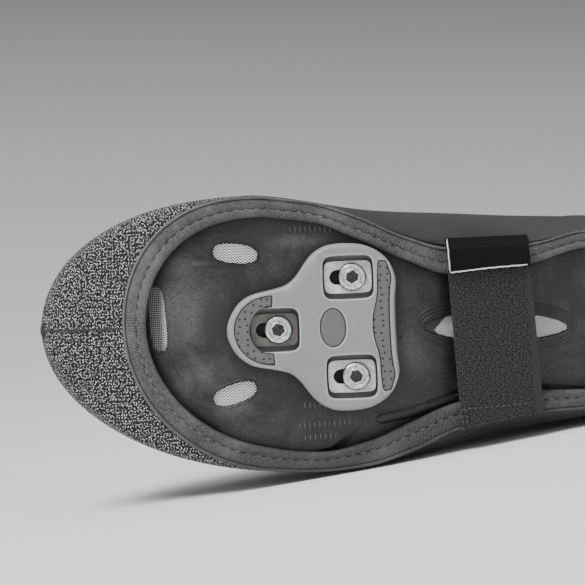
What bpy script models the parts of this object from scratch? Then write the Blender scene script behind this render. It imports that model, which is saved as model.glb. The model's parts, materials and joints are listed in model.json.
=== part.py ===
"""Cycling overshoe, right foot, on the sole and cleat of a road shoe, lying on its outer side.

Everything is modelled in the shoe's own frame: x runs from the toe tip to the heel, y to the
outer (lateral) side and z up from the ball of the sole. The last step lays the shoe down.
"""

import math

import bmesh
import bpy
import numpy as np
from mathutils import Matrix, Vector

MM = 0.001

# Driving sizes, in metres.
LENGTH = 308 * MM
BALL_WIDTH = 116 * MM
SHAFT_HEIGHT = 216 * MM
TOE_SPRING = 24 * MM
WALL = 2.6 * MM
HEM_STEP = 0.9 * MM
HEM_HEIGHT = 16 * MM
CLEARANCE = 0.35 * MM

# How far the overshoe's underside hangs below the sole plate, and how closely it follows its arch.
UNDERSIDE_DROP = 3.7 * MM
UNDERSIDE_FOLLOW = 0.85

PLATE_THICKNESS = 3.6 * MM
PLATE_EDGE_HEIGHT = 5.0 * MM
PLATE_CROWN = 1.0 * MM
INSOLE_THICKNESS = 3.0 * MM
INSOLE_SHARE = 0.93
HEEL_PAD_THICKNESS = 7.0 * MM

BINDING_TAPE = 1.3 * MM
BINDING_ROLL = 3.4 * MM
STRAP_WIDTH = 34.5 * MM
STRAP_THICKNESS = 1.9 * MM
LABEL_LENGTH = 15 * MM
LABEL_THICKNESS = 0.9 * MM

CLEAT_THICKNESS = 8.6 * MM
CLEAT_FLOOR = 2.6 * MM
PAD_THICKNESS = 1.5 * MM
PAD_POCKET = 1.0 * MM
BOLT_SPACING = 40.8 * MM
BOLT_SETBACK = 31.2 * MM
SCREW_HEAD_DIAMETER = 11.4 * MM
SCREW_HEAD_HEIGHT = 2.4 * MM
SCREW_SHANK_DIAMETER = 4.8 * MM
WASHER_LENGTH = 19.6 * MM
WASHER_WIDTH = 13.4 * MM
WASHER_THICKNESS = 1.8 * MM
WINDOW_MARGIN = 2.3 * MM
WINDOW_SHIFT = 1.7 * MM
SLOT_LENGTH = 15.4 * MM
SLOT_WIDTH = 6.4 * MM

AROUND = 48
SHELL_STEPS = 2
PLATE_AROUND = 52
DECK_COLUMNS = 6
STRAP_COLUMNS = 18

# Plate underside: station along the length, height as a share of the toe spring.
SOLE_CURVE = (
    (0.00, 1.00),
    (0.05, 0.79),
    (0.10, 0.57),
    (0.15, 0.35),
    (0.20, 0.15),
    (0.25, 0.03),
    (0.31, 0.00),
    (0.37, 0.00),
    (0.43, 0.00),
    (0.49, 0.06),
    (0.55, 0.24),
    (0.62, 0.45),
    (0.73, 0.62),
    (0.83, 0.66),
    (1.00, 0.72),
)

# Half widths seen from below, as shares of the ball width, inner side then outer side.
# side: the overshoe's widest line. seam: where its wall meets the binding. window: the edge of
# the sole window. crease: the edge of the plate's flat underside. edge: the plate's upper edge.
OUTLINE_COLUMNS = ("side", "seam", "window", "crease", "edge")
OUTLINES = (
    # station   side           seam           window         crease         edge
    (0.30, (0.480, 0.512), (0.476, 0.505), (0.401, 0.428), (0.438, 0.466), (0.445, 0.474)),
    (0.37, (0.447, 0.518), (0.445, 0.513), (0.372, 0.441), (0.402, 0.440), (0.412, 0.482)),
    (0.43, (0.411, 0.509), (0.388, 0.500), (0.302, 0.410), (0.330, 0.326), (0.357, 0.466)),
    (0.49, (0.397, 0.478), (0.312, 0.455), (0.226, 0.347), (0.256, 0.289), (0.283, 0.415)),
    (0.55, (0.388, 0.440), (0.266, 0.392), (0.169, 0.290), (0.214, 0.245), (0.238, 0.356)),
    (0.62, (0.371, 0.405), (0.260, 0.353), (0.171, 0.267), (0.207, 0.233), (0.232, 0.318)),
    (0.67, (0.364, 0.388), (0.271, 0.343), (0.198, 0.262), (0.228, 0.237), (0.246, 0.308)),
    (0.73, (0.356, 0.375), (0.305, 0.339), (0.239, 0.265), (0.259, 0.264), (0.277, 0.308)),
    (0.83, (0.340, 0.350), (0.315, 0.327), (0.250, 0.262), (0.282, 0.292), (0.296, 0.306)),
)

# Each outline's ends: front and back station, the length over which its front rounds on the
# inner and outer side, the length of its heel round, and how far its tip sits to the inner side.
OUTLINE_ENDS = {
    "side": (0.000, 1.000, 0.302, 0.364, 0.145, 0.060),
    "seam": (0.105, 0.945, 0.179, 0.211, 0.130, 0.026),
    "window": (0.138, 0.912, 0.162, 0.201, 0.115, 0.026),
    "crease": (0.034, 0.946, 0.260, 0.320, 0.125, 0.052),
    "edge": (0.026, 0.957, 0.270, 0.330, 0.128, 0.054),
}

# The shell's rings above the widest line, toe to heel. front and back: stations. front_z and
# back_z: heights as shares of the shaft height. follow: how closely the ring follows the sole's
# curve. nose_in, nose_out and heel: lengths of its rounds. ball and rear: its width against the
# widest line at the ball and at the heel. tip: how far its front sits to the inner side.
RINGS = (
    # name         front  back   front_z back_z follow nose_in nose_out heel   ball   rear  tip
    ("side",      -0.014, 1.000, 0.042, 0.065, 1.00, 0.298, 0.346, 0.145, 1.004, 1.000, 0.018),
    ("flank",     -0.010, 1.000, 0.125, 0.125, 0.50, 0.296, 0.342, 0.146, 0.985, 0.985, 0.018),
    ("shoulder",   0.008, 0.997, 0.213, 0.218, 0.00, 0.290, 0.330, 0.147, 0.930, 0.965, 0.020),
    ("toe_top",    0.042, 0.992, 0.250, 0.269, 0.00, 0.284, 0.318, 0.147, 0.860, 0.940, 0.024),
    ("vamp_low",   0.110, 0.987, 0.273, 0.324, 0.00, 0.276, 0.308, 0.147, 0.805, 0.920, 0.043),
    ("vamp",       0.201, 0.982, 0.296, 0.384, 0.00, 0.260, 0.292, 0.148, 0.785, 0.905, 0.034),
    ("vamp_high",  0.299, 0.977, 0.324, 0.444, 0.00, 0.234, 0.266, 0.150, 0.800, 0.890, 0.026),
    ("instep",     0.396, 0.974, 0.366, 0.500, 0.00, 0.208, 0.234, 0.152, 0.840, 0.880, 0.017),
    ("instep_top", 0.480, 0.972, 0.421, 0.556, 0.00, 0.188, 0.208, 0.156, 0.880, 0.880, 0.013),
    ("throat",     0.555, 0.971, 0.495, 0.620, 0.00, 0.169, 0.182, 0.160, 0.905, 0.890, 0.009),
    ("ankle",      0.607, 0.969, 0.588, 0.690, 0.00, 0.169, 0.175, 0.164, 0.910, 0.905, 0.004),
    ("shaft_low",  0.633, 0.967, 0.694, 0.773, 0.00, 0.166, 0.169, 0.165, 0.900, 0.925, 0.000),
    ("shaft",      0.644, 0.964, 0.824, 0.861, 0.00, 0.160, 0.160, 0.160, 0.930, 0.960, 0.000),
    ("collar",     0.649, 0.961, 1.000, 0.972, 0.00, 0.156, 0.156, 0.156, 0.985, 1.010, 0.000),
)
BALL_STATION = 0.34
HEEL_STATION = 0.83
TIP_POWER_IN = 2.4
TIP_POWER_OUT = 2.0
HEEL_POWER = 2.2

# Where the wall turns under the foot, between the seam and the widest line.
TURN_OUT = 0.80
TURN_UP = 0.42

# Toe cap: station of its upper edge on the middle line and at the sides, and its extra cloth.
CAP_MIDDLE = 0.165
CAP_SIDE = 0.283

# Strap across the arch: station of its middle at the label and at the stitched end, and how far
# it reaches to the inner side, as a share of the ball width.
STRAP_STATION_IN = 0.600
STRAP_STATION_OUT = 0.612
STRAP_REACH_IN = 0.298

# Cleat outline, from its nose along one side to the middle of its tail: distance behind the nose
# as a share of its length, and distance from its middle line as a share of its width.
CLEAT_LENGTH = 71.2 * MM
CLEAT_WIDTH = 69.0 * MM
CLEAT_NOSE_STATION = 0.2465
FRONT_BOLT_BEHIND_NOSE = 0.300
CLEAT_SIDE = (
    (0.000, 0.000),
    (0.006, 0.045),
    (0.024, 0.090),
    (0.066, 0.160),
    (0.140, 0.218),
    (0.240, 0.234),
    (0.340, 0.250),
    (0.405, 0.297),
    (0.450, 0.368),
    (0.505, 0.446),
    (0.590, 0.494),
    (0.700, 0.500),
    (0.815, 0.488),
    (0.900, 0.442),
    (0.962, 0.376),
    (1.000, 0.252),
    (0.980, 0.200),
)

# Vents in the plate: name, station, distance from the middle line as a share of the ball width
# (inner side positive), length and width in metres, turn in degrees, and how square its ends are.
VENTS = (
    ("vent_toe_inner", 0.262, 0.276, 18.5 * MM, 8.0 * MM, 8.0, 2.6),
    ("vent_toe_outer", 0.254, -0.224, 18.5 * MM, 8.0 * MM, -17.0, 2.6),
    ("vent_front", 0.153, 0.052, 7.0 * MM, 27.0 * MM, -3.0, 4.0),
    ("vent_arch", 0.610, -0.028, 62.0 * MM, 12.5 * MM, 3.0, 1.7),
)
VENT_DEPTH = 1.2 * MM
VENT_SHEET = 0.9 * MM


def smooth(t):
    """Ease from 0 to 1 with level ends."""
    t = np.clip(t, 0.0, 1.0)
    return t * t * (3 - 2 * t)


def through(rows, at):
    """A smooth curve through (position, value) rows with no overshoot, read at positions."""
    xs = np.array([r[0] for r in rows], float)
    ys = np.array([r[1] for r in rows], float)
    rise = np.diff(ys) / np.diff(xs)
    slopes = np.zeros_like(ys)
    level = rise[1:] * rise[:-1] <= 0
    total = np.where(level, 1.0, rise[1:] + rise[:-1])
    slopes[1:-1] = np.where(level, 0.0, 2 * rise[1:] * rise[:-1] / total)
    slopes[0], slopes[-1] = rise[0], rise[-1]
    at = np.clip(np.asarray(at, float), xs[0], xs[-1])
    i = np.clip(np.searchsorted(xs, at, side="right") - 1, 0, len(xs) - 2)
    h = xs[i + 1] - xs[i]
    t = (at - xs[i]) / h
    return (
        (2 * t**3 - 3 * t**2 + 1) * ys[i]
        + (t**3 - 2 * t**2 + t) * h * slopes[i]
        + (-2 * t**3 + 3 * t**2) * ys[i + 1]
        + (t**3 - t**2) * h * slopes[i + 1]
    )


def sole_height(x):
    """Height of the plate's underside on the middle line."""
    return TOE_SPRING * through(SOLE_CURVE, np.asarray(x) / LENGTH)


def cap(distance, length, power):
    """Rounds an outline's end: 0 at its tip and 1 a length behind it."""
    s = np.clip(distance / length, 0.0, 1.0)
    return np.sqrt(np.clip(1 - (1 - s) ** power, 0.0, 1.0))


def half_width(column, side, x):
    """Half width of an outline column before its ends are rounded. side 0 is inner, 1 outer."""
    k = 1 + OUTLINE_COLUMNS.index(column)
    rows = [(row[0], row[k][side]) for row in OUTLINES]
    return BALL_WIDTH * through(rows, np.asarray(x) / LENGTH)


def loop_stations(n, front, back):
    """Stations of n points round a loop, and which side each lies on: inner from toe to heel,
    then outer from heel to toe."""
    half = n // 2
    t = np.arange(half + 1) / half
    along = front + (back - front) * (1 - np.cos(math.pi * t)) / 2
    x = np.concatenate([along, along[-2:0:-1]])
    side = np.concatenate([np.zeros(half + 1, int), np.ones(half - 1, int)])
    return x * LENGTH, side


def rounded_y(x, side, front, back, nose, heel, tip, widths):
    """y of loop points, from the half widths of each side and the loop's rounded ends."""
    y = np.zeros_like(x)
    for s, power in ((0, TIP_POWER_IN), (1, TIP_POWER_OUT)):
        m = side == s
        nose_cap = cap(x[m] - front * LENGTH, nose[s] * LENGTH, power)
        heel_cap = cap(back * LENGTH - x[m], heel * LENGTH, HEEL_POWER)
        reach = widths[s][m] * nose_cap * heel_cap * (1 if s else -1)
        y[m] = reach - tip * BALL_WIDTH * (1 - nose_cap)
    return y


def outline(column, n=AROUND):
    """(x, y, side) of a named outline as n points from the toe tip round by the inner side."""
    front, back, nose_in, nose_out, heel, tip = OUTLINE_ENDS[column]
    x, side = loop_stations(n, front, back)
    widths = [half_width(column, s, x) for s in (0, 1)]
    return x, rounded_y(x, side, front, back, (nose_in, nose_out), heel, tip, widths), side


def underside(x):
    """Height of the overshoe's outer skin where it lies under the sole."""
    return UNDERSIDE_FOLLOW * sole_height(x) - UNDERSIDE_DROP


def shell_ring(row, n):
    """One ring of the shell's outer skin from its table row."""
    _, front, back, front_z, back_z, follow, nose_in, nose_out, heel, ball, rear, tip = row
    x, side = loop_stations(n, front, back)
    share = smooth((x / LENGTH - BALL_STATION) / (HEEL_STATION - BALL_STATION))
    scale = ball + (rear - ball) * share
    widths = [half_width("side", s, x) * scale for s in (0, 1)]
    y = rounded_y(x, side, front, back, (nose_in, nose_out), heel, tip, widths)
    along = (x / LENGTH - front) / (back - front)
    z = SHAFT_HEIGHT * (front_z + (back_z - front_z) * along) + follow * sole_height(x)
    return np.stack([x, y, z], 1)


def seam_ring(n):
    """The shell's lowest ring, where its wall meets the binding."""
    x, y, _ = outline("seam", n)
    return np.stack([x, y, underside(x) + BINDING_TAPE + CLEARANCE], 1)


def shell_controls(n):
    """The rings that the shell's skin passes through, from the seam to the collar."""
    seam = seam_ring(n)
    rings = [shell_ring(row, n) for row in RINGS]
    turn = seam + (rings[0] - seam) * np.array([TURN_OUT, TURN_OUT, TURN_UP])
    return np.array([seam, turn, *rings])


def along_rings(controls, steps):
    """Rings in between, on smooth lines through the control rings."""
    padded = np.concatenate(
        [2 * controls[:1] - controls[1:2], controls, 2 * controls[-1:] - controls[-2:-1]]
    )
    rings = []
    for k in range(len(controls) - 1):
        a, b, c, d = padded[k : k + 4]
        for step in range(steps):
            t = step / steps
            rings.append(
                0.5
                * (
                    2 * b
                    + (c - a) * t
                    + (2 * a - 5 * b + 4 * c - d) * t**2
                    + (3 * b - a - 3 * c + d) * t**3
                )
            )
    rings.append(controls[-1])
    return np.array(rings)


def grid_normals(grid):
    """Outward normals of a grid of rings that runs from the sole up."""
    around = np.roll(grid, -1, 1) - np.roll(grid, 1, 1)
    up = np.gradient(grid, axis=0)
    normal = np.cross(around, up)
    return normal / np.linalg.norm(normal, axis=2, keepdims=True)


def shell_grid(n=AROUND, steps=SHELL_STEPS):
    """Outer and inner skins of the overshoe's wall as grids of points."""
    outer = along_rings(shell_controls(n), steps)
    normal = grid_normals(outer)
    inner = outer - normal * WALL
    inner[0, :, 2] = np.maximum(inner[0, :, 2], outer[0, :, 2])
    return outer, inner, normal


def mesh_object(name, verts, faces, colour, roughness, metallic=0.0):
    """A named object with its own material, facing out."""
    mesh = bpy.data.meshes.new(name)
    mesh.from_pydata([tuple(map(float, v)) for v in verts], [], [list(f) for f in faces])
    obj = bpy.data.objects.new(name, mesh)
    bpy.context.scene.collection.objects.link(obj)
    face_out(obj)
    paint(obj, colour, roughness, metallic)
    return obj


def face_out(obj):
    """Turns the faces outwards, so that the solid's volume is positive."""
    bm = bmesh.new()
    bm.from_mesh(obj.data)
    bmesh.ops.recalc_face_normals(bm, faces=bm.faces)
    if bm.calc_volume(signed=True) < 0:
        bmesh.ops.reverse_faces(bm, faces=bm.faces)
    bm.to_mesh(obj.data)
    bm.free()


def paint(obj, colour, roughness, metallic=0.0):
    """Gives the object a plain material of its own."""
    material = bpy.data.materials.new(obj.name)
    material.use_nodes = True
    shader = material.node_tree.nodes["Principled BSDF"]
    shader.inputs["Base Color"].default_value = (*colour, 1.0)
    shader.inputs["Roughness"].default_value = roughness
    shader.inputs["Metallic"].default_value = metallic
    obj.data.materials.clear()
    obj.data.materials.append(material)
    obj.data.shade_smooth()
    obj.data.set_sharp_from_angle(angle=math.radians(35))


def loops_to_faces(loops, n, closed):
    """Quads between rings of n points each. closed joins the last ring to the first."""
    faces = []
    count = len(loops)
    for k in range(count if closed else count - 1):
        a, b = k * n, ((k + 1) % count) * n
        for i in range(n):
            j = (i + 1) % n
            faces.append((a + i, a + j, b + j, b + i))
    return faces


def closed_tube(name, rings, colour, roughness):
    """A ring-shaped solid: its rings form a closed section that runs all the way round."""
    n = len(rings[0])
    faces = loops_to_faces(rings, n, True)
    return mesh_object(name, np.concatenate(rings), faces, colour, roughness)


def stack_solid(name, rings, colour, roughness, metallic=0.0):
    """A solid between a first and a last loop, each closed with a flat fan."""
    n = len(rings[0])
    verts = [v for ring in rings for v in ring]
    faces = loops_to_faces(rings, n, False)
    for ring, base in ((rings[0], 0), (rings[-1], (len(rings) - 1) * n)):
        verts.append(np.mean(ring, 0))
        faces += [(base + i, base + (i + 1) % n, len(verts) - 1) for i in range(n)]
    return mesh_object(name, verts, faces, colour, roughness, metallic)


def boolean(obj, cutter, operation="DIFFERENCE"):
    """Applies one cut and removes the cutter."""
    modifier = obj.modifiers.new(cutter.name, "BOOLEAN")
    modifier.operation = operation
    modifier.solver = "EXACT"
    modifier.object = cutter
    bpy.context.view_layer.update()
    graph = bpy.context.evaluated_depsgraph_get()
    mesh = bpy.data.meshes.new_from_object(obj.evaluated_get(graph))
    materials = list(obj.data.materials)
    obj.modifiers.clear()
    obj.data = mesh
    obj.data.materials.clear()
    for material in materials:
        obj.data.materials.append(material)
    bpy.data.objects.remove(cutter)
    obj.data.shade_smooth()
    obj.data.set_sharp_from_angle(angle=math.radians(35))
    return obj


def cap_cutter(shift):
    """A block that holds everything in front of the toe cap's upper edge, moved back by shift."""
    reach = BALL_WIDTH * 0.75
    top = SHAFT_HEIGHT
    bottom = -UNDERSIDE_DROP * 4
    across = np.linspace(-1, 1, 25)
    edge_x = LENGTH * (CAP_MIDDLE + (CAP_SIDE - CAP_MIDDLE) * np.abs(across * 1.5) ** 1.8) + shift
    front_x = -LENGTH * 0.1
    outline_points = [(x, reach * a) for x, a in zip(edge_x, across)]
    outline_points += [(front_x, reach), (front_x, -reach)]
    rings = [np.array([(x, y, z) for x, y in outline_points]) for z in (bottom, top)]
    cutter = stack_solid("cap_cutter", rings, (1, 1, 1), 1.0)
    cutter.hide_render = True
    cutter.display_type = "WIRE"
    return cutter


def shell_solid(name, colour, roughness):
    """The whole wall of the overshoe from the seam to the collar, with its hem. Its inner skin
    has a ring for each control ring."""
    outer, inner, normal = shell_grid()
    hem = smooth((outer[..., 2] - outer[-1:, :, 2] + HEM_HEIGHT + MM) / MM)
    outer = outer + normal * (HEM_STEP * hem)[..., None]
    rings = [*outer, inner[-1], *inner[-1 - SHELL_STEPS :: -SHELL_STEPS]]
    return closed_tube(name, rings, colour, roughness)


def make_upper():
    upper = shell_solid("upper", (0.045, 0.047, 0.052), 0.75)
    return boolean(upper, cap_cutter(CLEARANCE))


def make_toe_cap():
    toe_cap = shell_solid("toe_cap", (0.12, 0.12, 0.13), 0.85)
    return boolean(toe_cap, cap_cutter(0.0), "INTERSECT")


def binding_loop(share, height, n):
    """A loop of points along the binding: share 0 is the seam and 1 the window's edge."""
    sx, sy, _ = outline("seam", n)
    wx, wy, _ = outline("window", n)
    x, y = sx + (wx - sx) * share, sy + (wy - sy) * share
    low = underside(x)
    rest = UNDERSIDE_FOLLOW * sole_height(x) - CLEARANCE - BINDING_ROLL
    return np.stack([x, y, low + (rest - low) * smooth(share) + height], 1)


def make_binding():
    """Edge tape round the sole window: flat, with a stitched groove, to a rolled inner edge."""
    section = (
        (0.00, 0.20 * BINDING_TAPE),
        (0.05, 0.00),
        (0.30, -0.20 * BINDING_TAPE),
        (0.54, 0.10 * BINDING_TAPE),
        (0.58, 0.50 * BINDING_TAPE),
        (0.63, 0.00),
        (0.82, -0.35 * BINDING_TAPE),
        (0.96, 0.10 * BINDING_ROLL),
        (1.00, 0.50 * BINDING_ROLL),
        (0.96, 0.86 * BINDING_ROLL),
        (0.82, 0.98 * BINDING_ROLL),
        (0.64, 1.15 * BINDING_TAPE),
        (0.40, BINDING_TAPE),
        (0.05, BINDING_TAPE),
        (0.00, 0.80 * BINDING_TAPE),
    )
    rings = [binding_loop(share, height, AROUND) for share, height in section]
    return closed_tube("binding", rings, (0.09, 0.092, 0.1), 0.8)


def deck(loop, height, columns=DECK_COLUMNS):
    """A surface that spans a loop whose two sides have the same stations: (points, faces).
    The loop's own points come first, and height gives z from x, y and the half width."""
    n = len(loop)
    half = n // 2
    points = [tuple(p) for p in loop]
    rows = [[0]]
    for i in range(1, half):
        inner, outer = loop[i], loop[n - i]
        row = [i]
        for k in range(1, columns):
            x, y, _ = inner + (outer - inner) * k / columns
            points.append((x, y, height(x, 2 * abs(k / columns - 0.5))))
            row.append(len(points) - 1)
        rows.append([*row, n - i])
    rows.append([half])
    faces = []
    for a, b in zip(rows, rows[1:]):
        if len(a) == 1 or len(b) == 1:
            tip, row = (a[0], b) if len(a) == 1 else (b[0], a)
            faces += [(tip, row[k], row[k + 1]) for k in range(columns)]
        else:
            faces += [(a[k], a[k + 1], b[k + 1], b[k]) for k in range(columns)]
    return points, faces


def slab(name, loops, low, high, colour, roughness):
    """A solid through a stack of loops, closed below and above by decks."""
    n = len(loops[0])
    verts = [tuple(p) for loop in loops for p in loop]
    faces = loops_to_faces(loops, n, False)
    for loop, base, height in ((loops[0], 0, low), (loops[-1], (len(loops) - 1) * n, high)):
        points, deck_faces = deck(np.asarray(loop), height)
        first = len(verts)
        verts += points[n:]
        faces += [[base + i if i < n else first + i - n for i in f] for f in deck_faces]
    return mesh_object(name, verts, faces, colour, roughness)


def plate_under(x, share):
    """Height of the plate's underside, a little higher towards its edges."""
    return float(sole_height(x)) + PLATE_CROWN * share**4


def plate_over(x, share):
    """Height of the plate's upper face, a shallow dish up to its edges."""
    rise = PLATE_EDGE_HEIGHT - PLATE_THICKNESS
    return float(sole_height(x)) + PLATE_THICKNESS + rise * share**6


def make_plate():
    """The shoe's stiff sole plate, arched under the foot, with bevelled edges and vents."""
    cx, cy, _ = outline("crease", PLATE_AROUND)
    ex, ey, _ = outline("edge", PLATE_AROUND)
    loops = [
        np.stack([cx, cy, sole_height(cx) + PLATE_CROWN], 1),
        np.stack([ex, ey, sole_height(ex) + PLATE_EDGE_HEIGHT * 0.62], 1),
        np.stack([ex, ey, sole_height(ex) + PLATE_EDGE_HEIGHT], 1),
    ]
    plate = slab("sole_plate", loops, plate_under, plate_over, (0.075, 0.077, 0.082), 0.5)
    for vent in VENTS:
        boolean(plate, vent_block("hole", vent, CLEARANCE, -20 * MM, 40 * MM))
    for x, y in bolt_places():
        boolean(plate, post("bolt_hole", x, y, SCREW_SHANK_DIAMETER / 2 + CLEARANCE, -0.02, 0.02))
    return plate


def grown(points, distance):
    """A closed outline moved outwards by a distance."""
    p = np.array(points, float)
    ahead = np.roll(p, -1, 0) - p
    ahead /= np.linalg.norm(ahead, axis=1, keepdims=True)
    behind = np.roll(ahead, 1, 0)
    area = np.sum(p[:, 0] * np.roll(p[:, 1], -1) - np.roll(p[:, 0], -1) * p[:, 1])
    turn = 1.0 if area > 0 else -1.0
    out_a = np.stack([ahead[:, 1], -ahead[:, 0]], 1) * turn
    out_b = np.stack([behind[:, 1], -behind[:, 0]], 1) * turn
    out = out_a + out_b
    out /= np.maximum(np.sum(out * out_a, 1), 0.5)[:, None]
    return [tuple(q) for q in p + out * distance]


def vent_block(name, vent, grow, z0, z1, count=20):
    """A block upright through the plate, on a vent's outline."""
    _, station, aside, length, width, turn, square = vent
    c, s = math.cos(math.radians(turn)), math.sin(math.radians(turn))
    outline_points = []
    for k in range(count):
        a = 2 * math.pi * (k + 0.5) / count
        ca, sa = math.cos(a), math.sin(a)
        r = (abs(ca) ** square + abs(sa) ** square) ** (-1 / square)
        outline_points.append((length / 2 * ca * r, width / 2 * sa * r))
    placed = [
        (station * LENGTH + px * c - py * s, -aside * BALL_WIDTH + px * s + py * c)
        for px, py in grown(outline_points, grow)
    ]
    return prism(name, placed, z0, z1)


def make_vents():
    """Thin mesh sheets that close the vents, a little way in from the underside."""
    made = []
    for vent in VENTS:
        block = vent_block(vent[0], vent, 0.0, 0.0, 1.0)
        for v in block.data.vertices:
            base = float(sole_height(v.co.x)) + VENT_DEPTH
            v.co.z = base + (VENT_SHEET if v.co.z > 0.5 else 0.0)
        paint(block, (0.55, 0.56, 0.58), 0.6)
        made.append(block)
    return made


def insole_under(x, share):
    """Height of the insole's lower face, just off the plate's dish."""
    return float(sole_height(x)) + PLATE_THICKNESS + 2 * CLEARANCE + 1.4 * MM * share**4


def insole_over(x, share):
    return insole_under(x, share) + INSOLE_THICKNESS


def make_insole():
    """A thin insole on the plate."""
    x, y, _ = outline("edge", PLATE_AROUND)
    middle = 0.5 * LENGTH
    x = middle + (x - middle) * INSOLE_SHARE
    y = y * INSOLE_SHARE
    low = np.array([insole_under(a, 1.0) for a in x])
    loops = [np.stack([x, y, low], 1), np.stack([x, y, low + INSOLE_THICKNESS], 1)]
    return slab("insole", loops, insole_under, insole_over, (0.05, 0.05, 0.055), 0.9)


def make_heel_pad():
    """A plain rubber pad under the heel."""
    n = 28
    wx, wy, _ = outline("window", 200)
    front, back = 0.765, 0.895
    loops = []
    for share, drop in ((1.0, CLEARANCE), (1.0, 0.75), (0.93, 1.0)):
        loop = []
        for k in range(n):
            a = 2 * math.pi * k / n
            c, s = math.cos(a), math.sin(a)
            r = (abs(c) ** 3 + abs(s) ** 3) ** (-1 / 3)
            x = LENGTH * ((front + back) / 2 + (back - front) / 2 * c * r * share)
            half = 0.205 * BALL_WIDTH * share
            low = HEEL_PAD_THICKNESS * drop if drop > CLEARANCE else CLEARANCE
            loop.append((x, s * r * half, float(sole_height(x)) - low))
        loops.append(np.array(loop))
    return stack_solid("heel_pad", loops, (0.03, 0.03, 0.032), 0.8)


def bolt_places():
    """Centres of the three cleat screws: the front one, then the inner and the outer rear one."""
    front = CLEAT_NOSE_STATION * LENGTH + FRONT_BOLT_BEHIND_NOSE * CLEAT_LENGTH
    rear = front + BOLT_SETBACK
    return [(front, 0.0), (rear, -BOLT_SPACING / 2), (rear, BOLT_SPACING / 2)]


def post(name, x, y, radius, z0, z1, count=16):
    """An upright round bar."""
    turn = [2 * math.pi * k / count for k in range(count)]
    loops = [
        np.array([(x + radius * math.cos(a), y + radius * math.sin(a), z) for a in turn])
        for z in (z0, z1)
    ]
    return stack_solid(name, loops, (1, 1, 1), 1.0)


def rounded_box(name, x, y, length, width, z0, z1, radius, corner=3):
    """An upright block with rounded corners."""
    points = []
    for k, (sx, sy) in enumerate(((1, 1), (-1, 1), (-1, -1), (1, -1))):
        cx, cy = sx * (length / 2 - radius), sy * (width / 2 - radius)
        for i in range(corner + 1):
            a = math.pi / 2 * (k + i / corner)
            points.append((x + cx + radius * math.cos(a), y + cy + radius * math.sin(a)))
    loops = [np.array([(px, py, z) for px, py in points]) for z in (z0, z1)]
    return stack_solid(name, loops, (1, 1, 1), 1.0)


def cleat_outline(scale=1.0, count=56):
    """The cleat's outline as a closed loop of points."""
    side = [(b * CLEAT_LENGTH, w * CLEAT_WIDTH) for b, w in CLEAT_SIDE]
    loop = side + [(b, -w) for b, w in side[:0:-1]]
    lengths = [math.dist(a, b) for a, b in zip(loop, loop[1:] + loop[:1])]
    knots = np.concatenate([[0], np.cumsum(lengths)])
    at = np.linspace(0, knots[-1], count, endpoint=False)
    xs = np.interp(at, knots, [p[0] for p in loop] + [loop[0][0]])
    ys = np.interp(at, knots, [p[1] for p in loop] + [loop[0][1]])
    middle = CLEAT_LENGTH * 0.55
    x = CLEAT_NOSE_STATION * LENGTH + middle + (xs - middle) * scale
    return x, ys * scale


def make_cleat():
    """Three-bolt road cleat: a chamfered body with a window round each screw."""
    x, y = cleat_outline()
    ix, iy = cleat_outline(0.965)
    top = np.full_like(x, -CLEARANCE)
    rings = [
        np.stack([x, y, top], 1),
        np.stack([x, y, np.full_like(x, 1.4 * MM - CLEAT_THICKNESS)], 1),
        np.stack([ix, iy, np.full_like(x, -CLEAT_THICKNESS)], 1),
    ]
    cleat = stack_solid("cleat", rings, (0.42, 0.43, 0.45), 0.45)
    for x0, y0 in bolt_places():
        window = rounded_box(
            "window", x0 - WINDOW_SHIFT, y0,
            WASHER_LENGTH + 0.6 * WINDOW_MARGIN, WASHER_WIDTH + 2 * WINDOW_MARGIN,
            -0.02, -CLEAT_FLOOR - CLEARANCE, 3.6 * MM,
        )
        boolean(cleat, window)
        slot = rounded_box(
            "slot", x0 - WINDOW_SHIFT, y0, SLOT_LENGTH, SLOT_WIDTH, -0.02, 0.01, SLOT_WIDTH / 2.02
        )
        boolean(cleat, slot)
    for pocket in pad_blocks("pocket", CLEARANCE, PAD_POCKET + CLEARANCE):
        boolean(cleat, pocket)
    plug = plug_block("plug_hole", CLEARANCE, 2.2 * MM)
    boolean(cleat, plug)
    return cleat


def plug_block(name, grow, depth, proud=5 * MM):
    """The oval button in the middle of the cleat."""
    front = bolt_places()[0][0]
    x0 = front + 0.72 * BOLT_SETBACK
    rx, ry = 5.2 * MM + grow, 7.9 * MM + grow
    turn = [2 * math.pi * k / 24 for k in range(24)]
    loops = [
        np.array([(x0 + rx * math.cos(a), ry * math.sin(a), z) for a in turn])
        for z in (-CLEAT_THICKNESS + depth, -CLEAT_THICKNESS - proud)
    ]
    return stack_solid(name, loops, (1, 1, 1), 1.0)


def pad_outlines():
    """The two grip pads on the cleat's face: a crescent round the nose and a tail strip."""
    nose = CLEAT_NOSE_STATION * LENGTH
    length, width = CLEAT_LENGTH, CLEAT_WIDTH
    steps = 14
    turn = [math.radians(88 + 184 * k / steps) for k in range(steps + 1)]
    middle = nose + 0.262 * length
    front = [
        (middle + 0.215 * length * math.cos(a), 0.203 * width * math.sin(a)) for a in turn
    ]
    front += [
        (middle + 0.128 * length * math.cos(a), 0.143 * width * math.sin(a)) for a in turn[::-1]
    ]
    half = (
        (0.848, 0.040),
        (0.862, 0.110),
        (0.886, 0.180),
        (0.886, 0.365),
        (0.898, 0.385),
        (0.934, 0.380),
        (0.960, 0.300),
        (0.960, 0.262),
        (0.940, 0.215),
    )
    rear = [(nose + b * length, w * width) for b, w in half]
    rear += [(nose + b * length, -w * width) for b, w in half[::-1]]
    return front, rear


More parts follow.
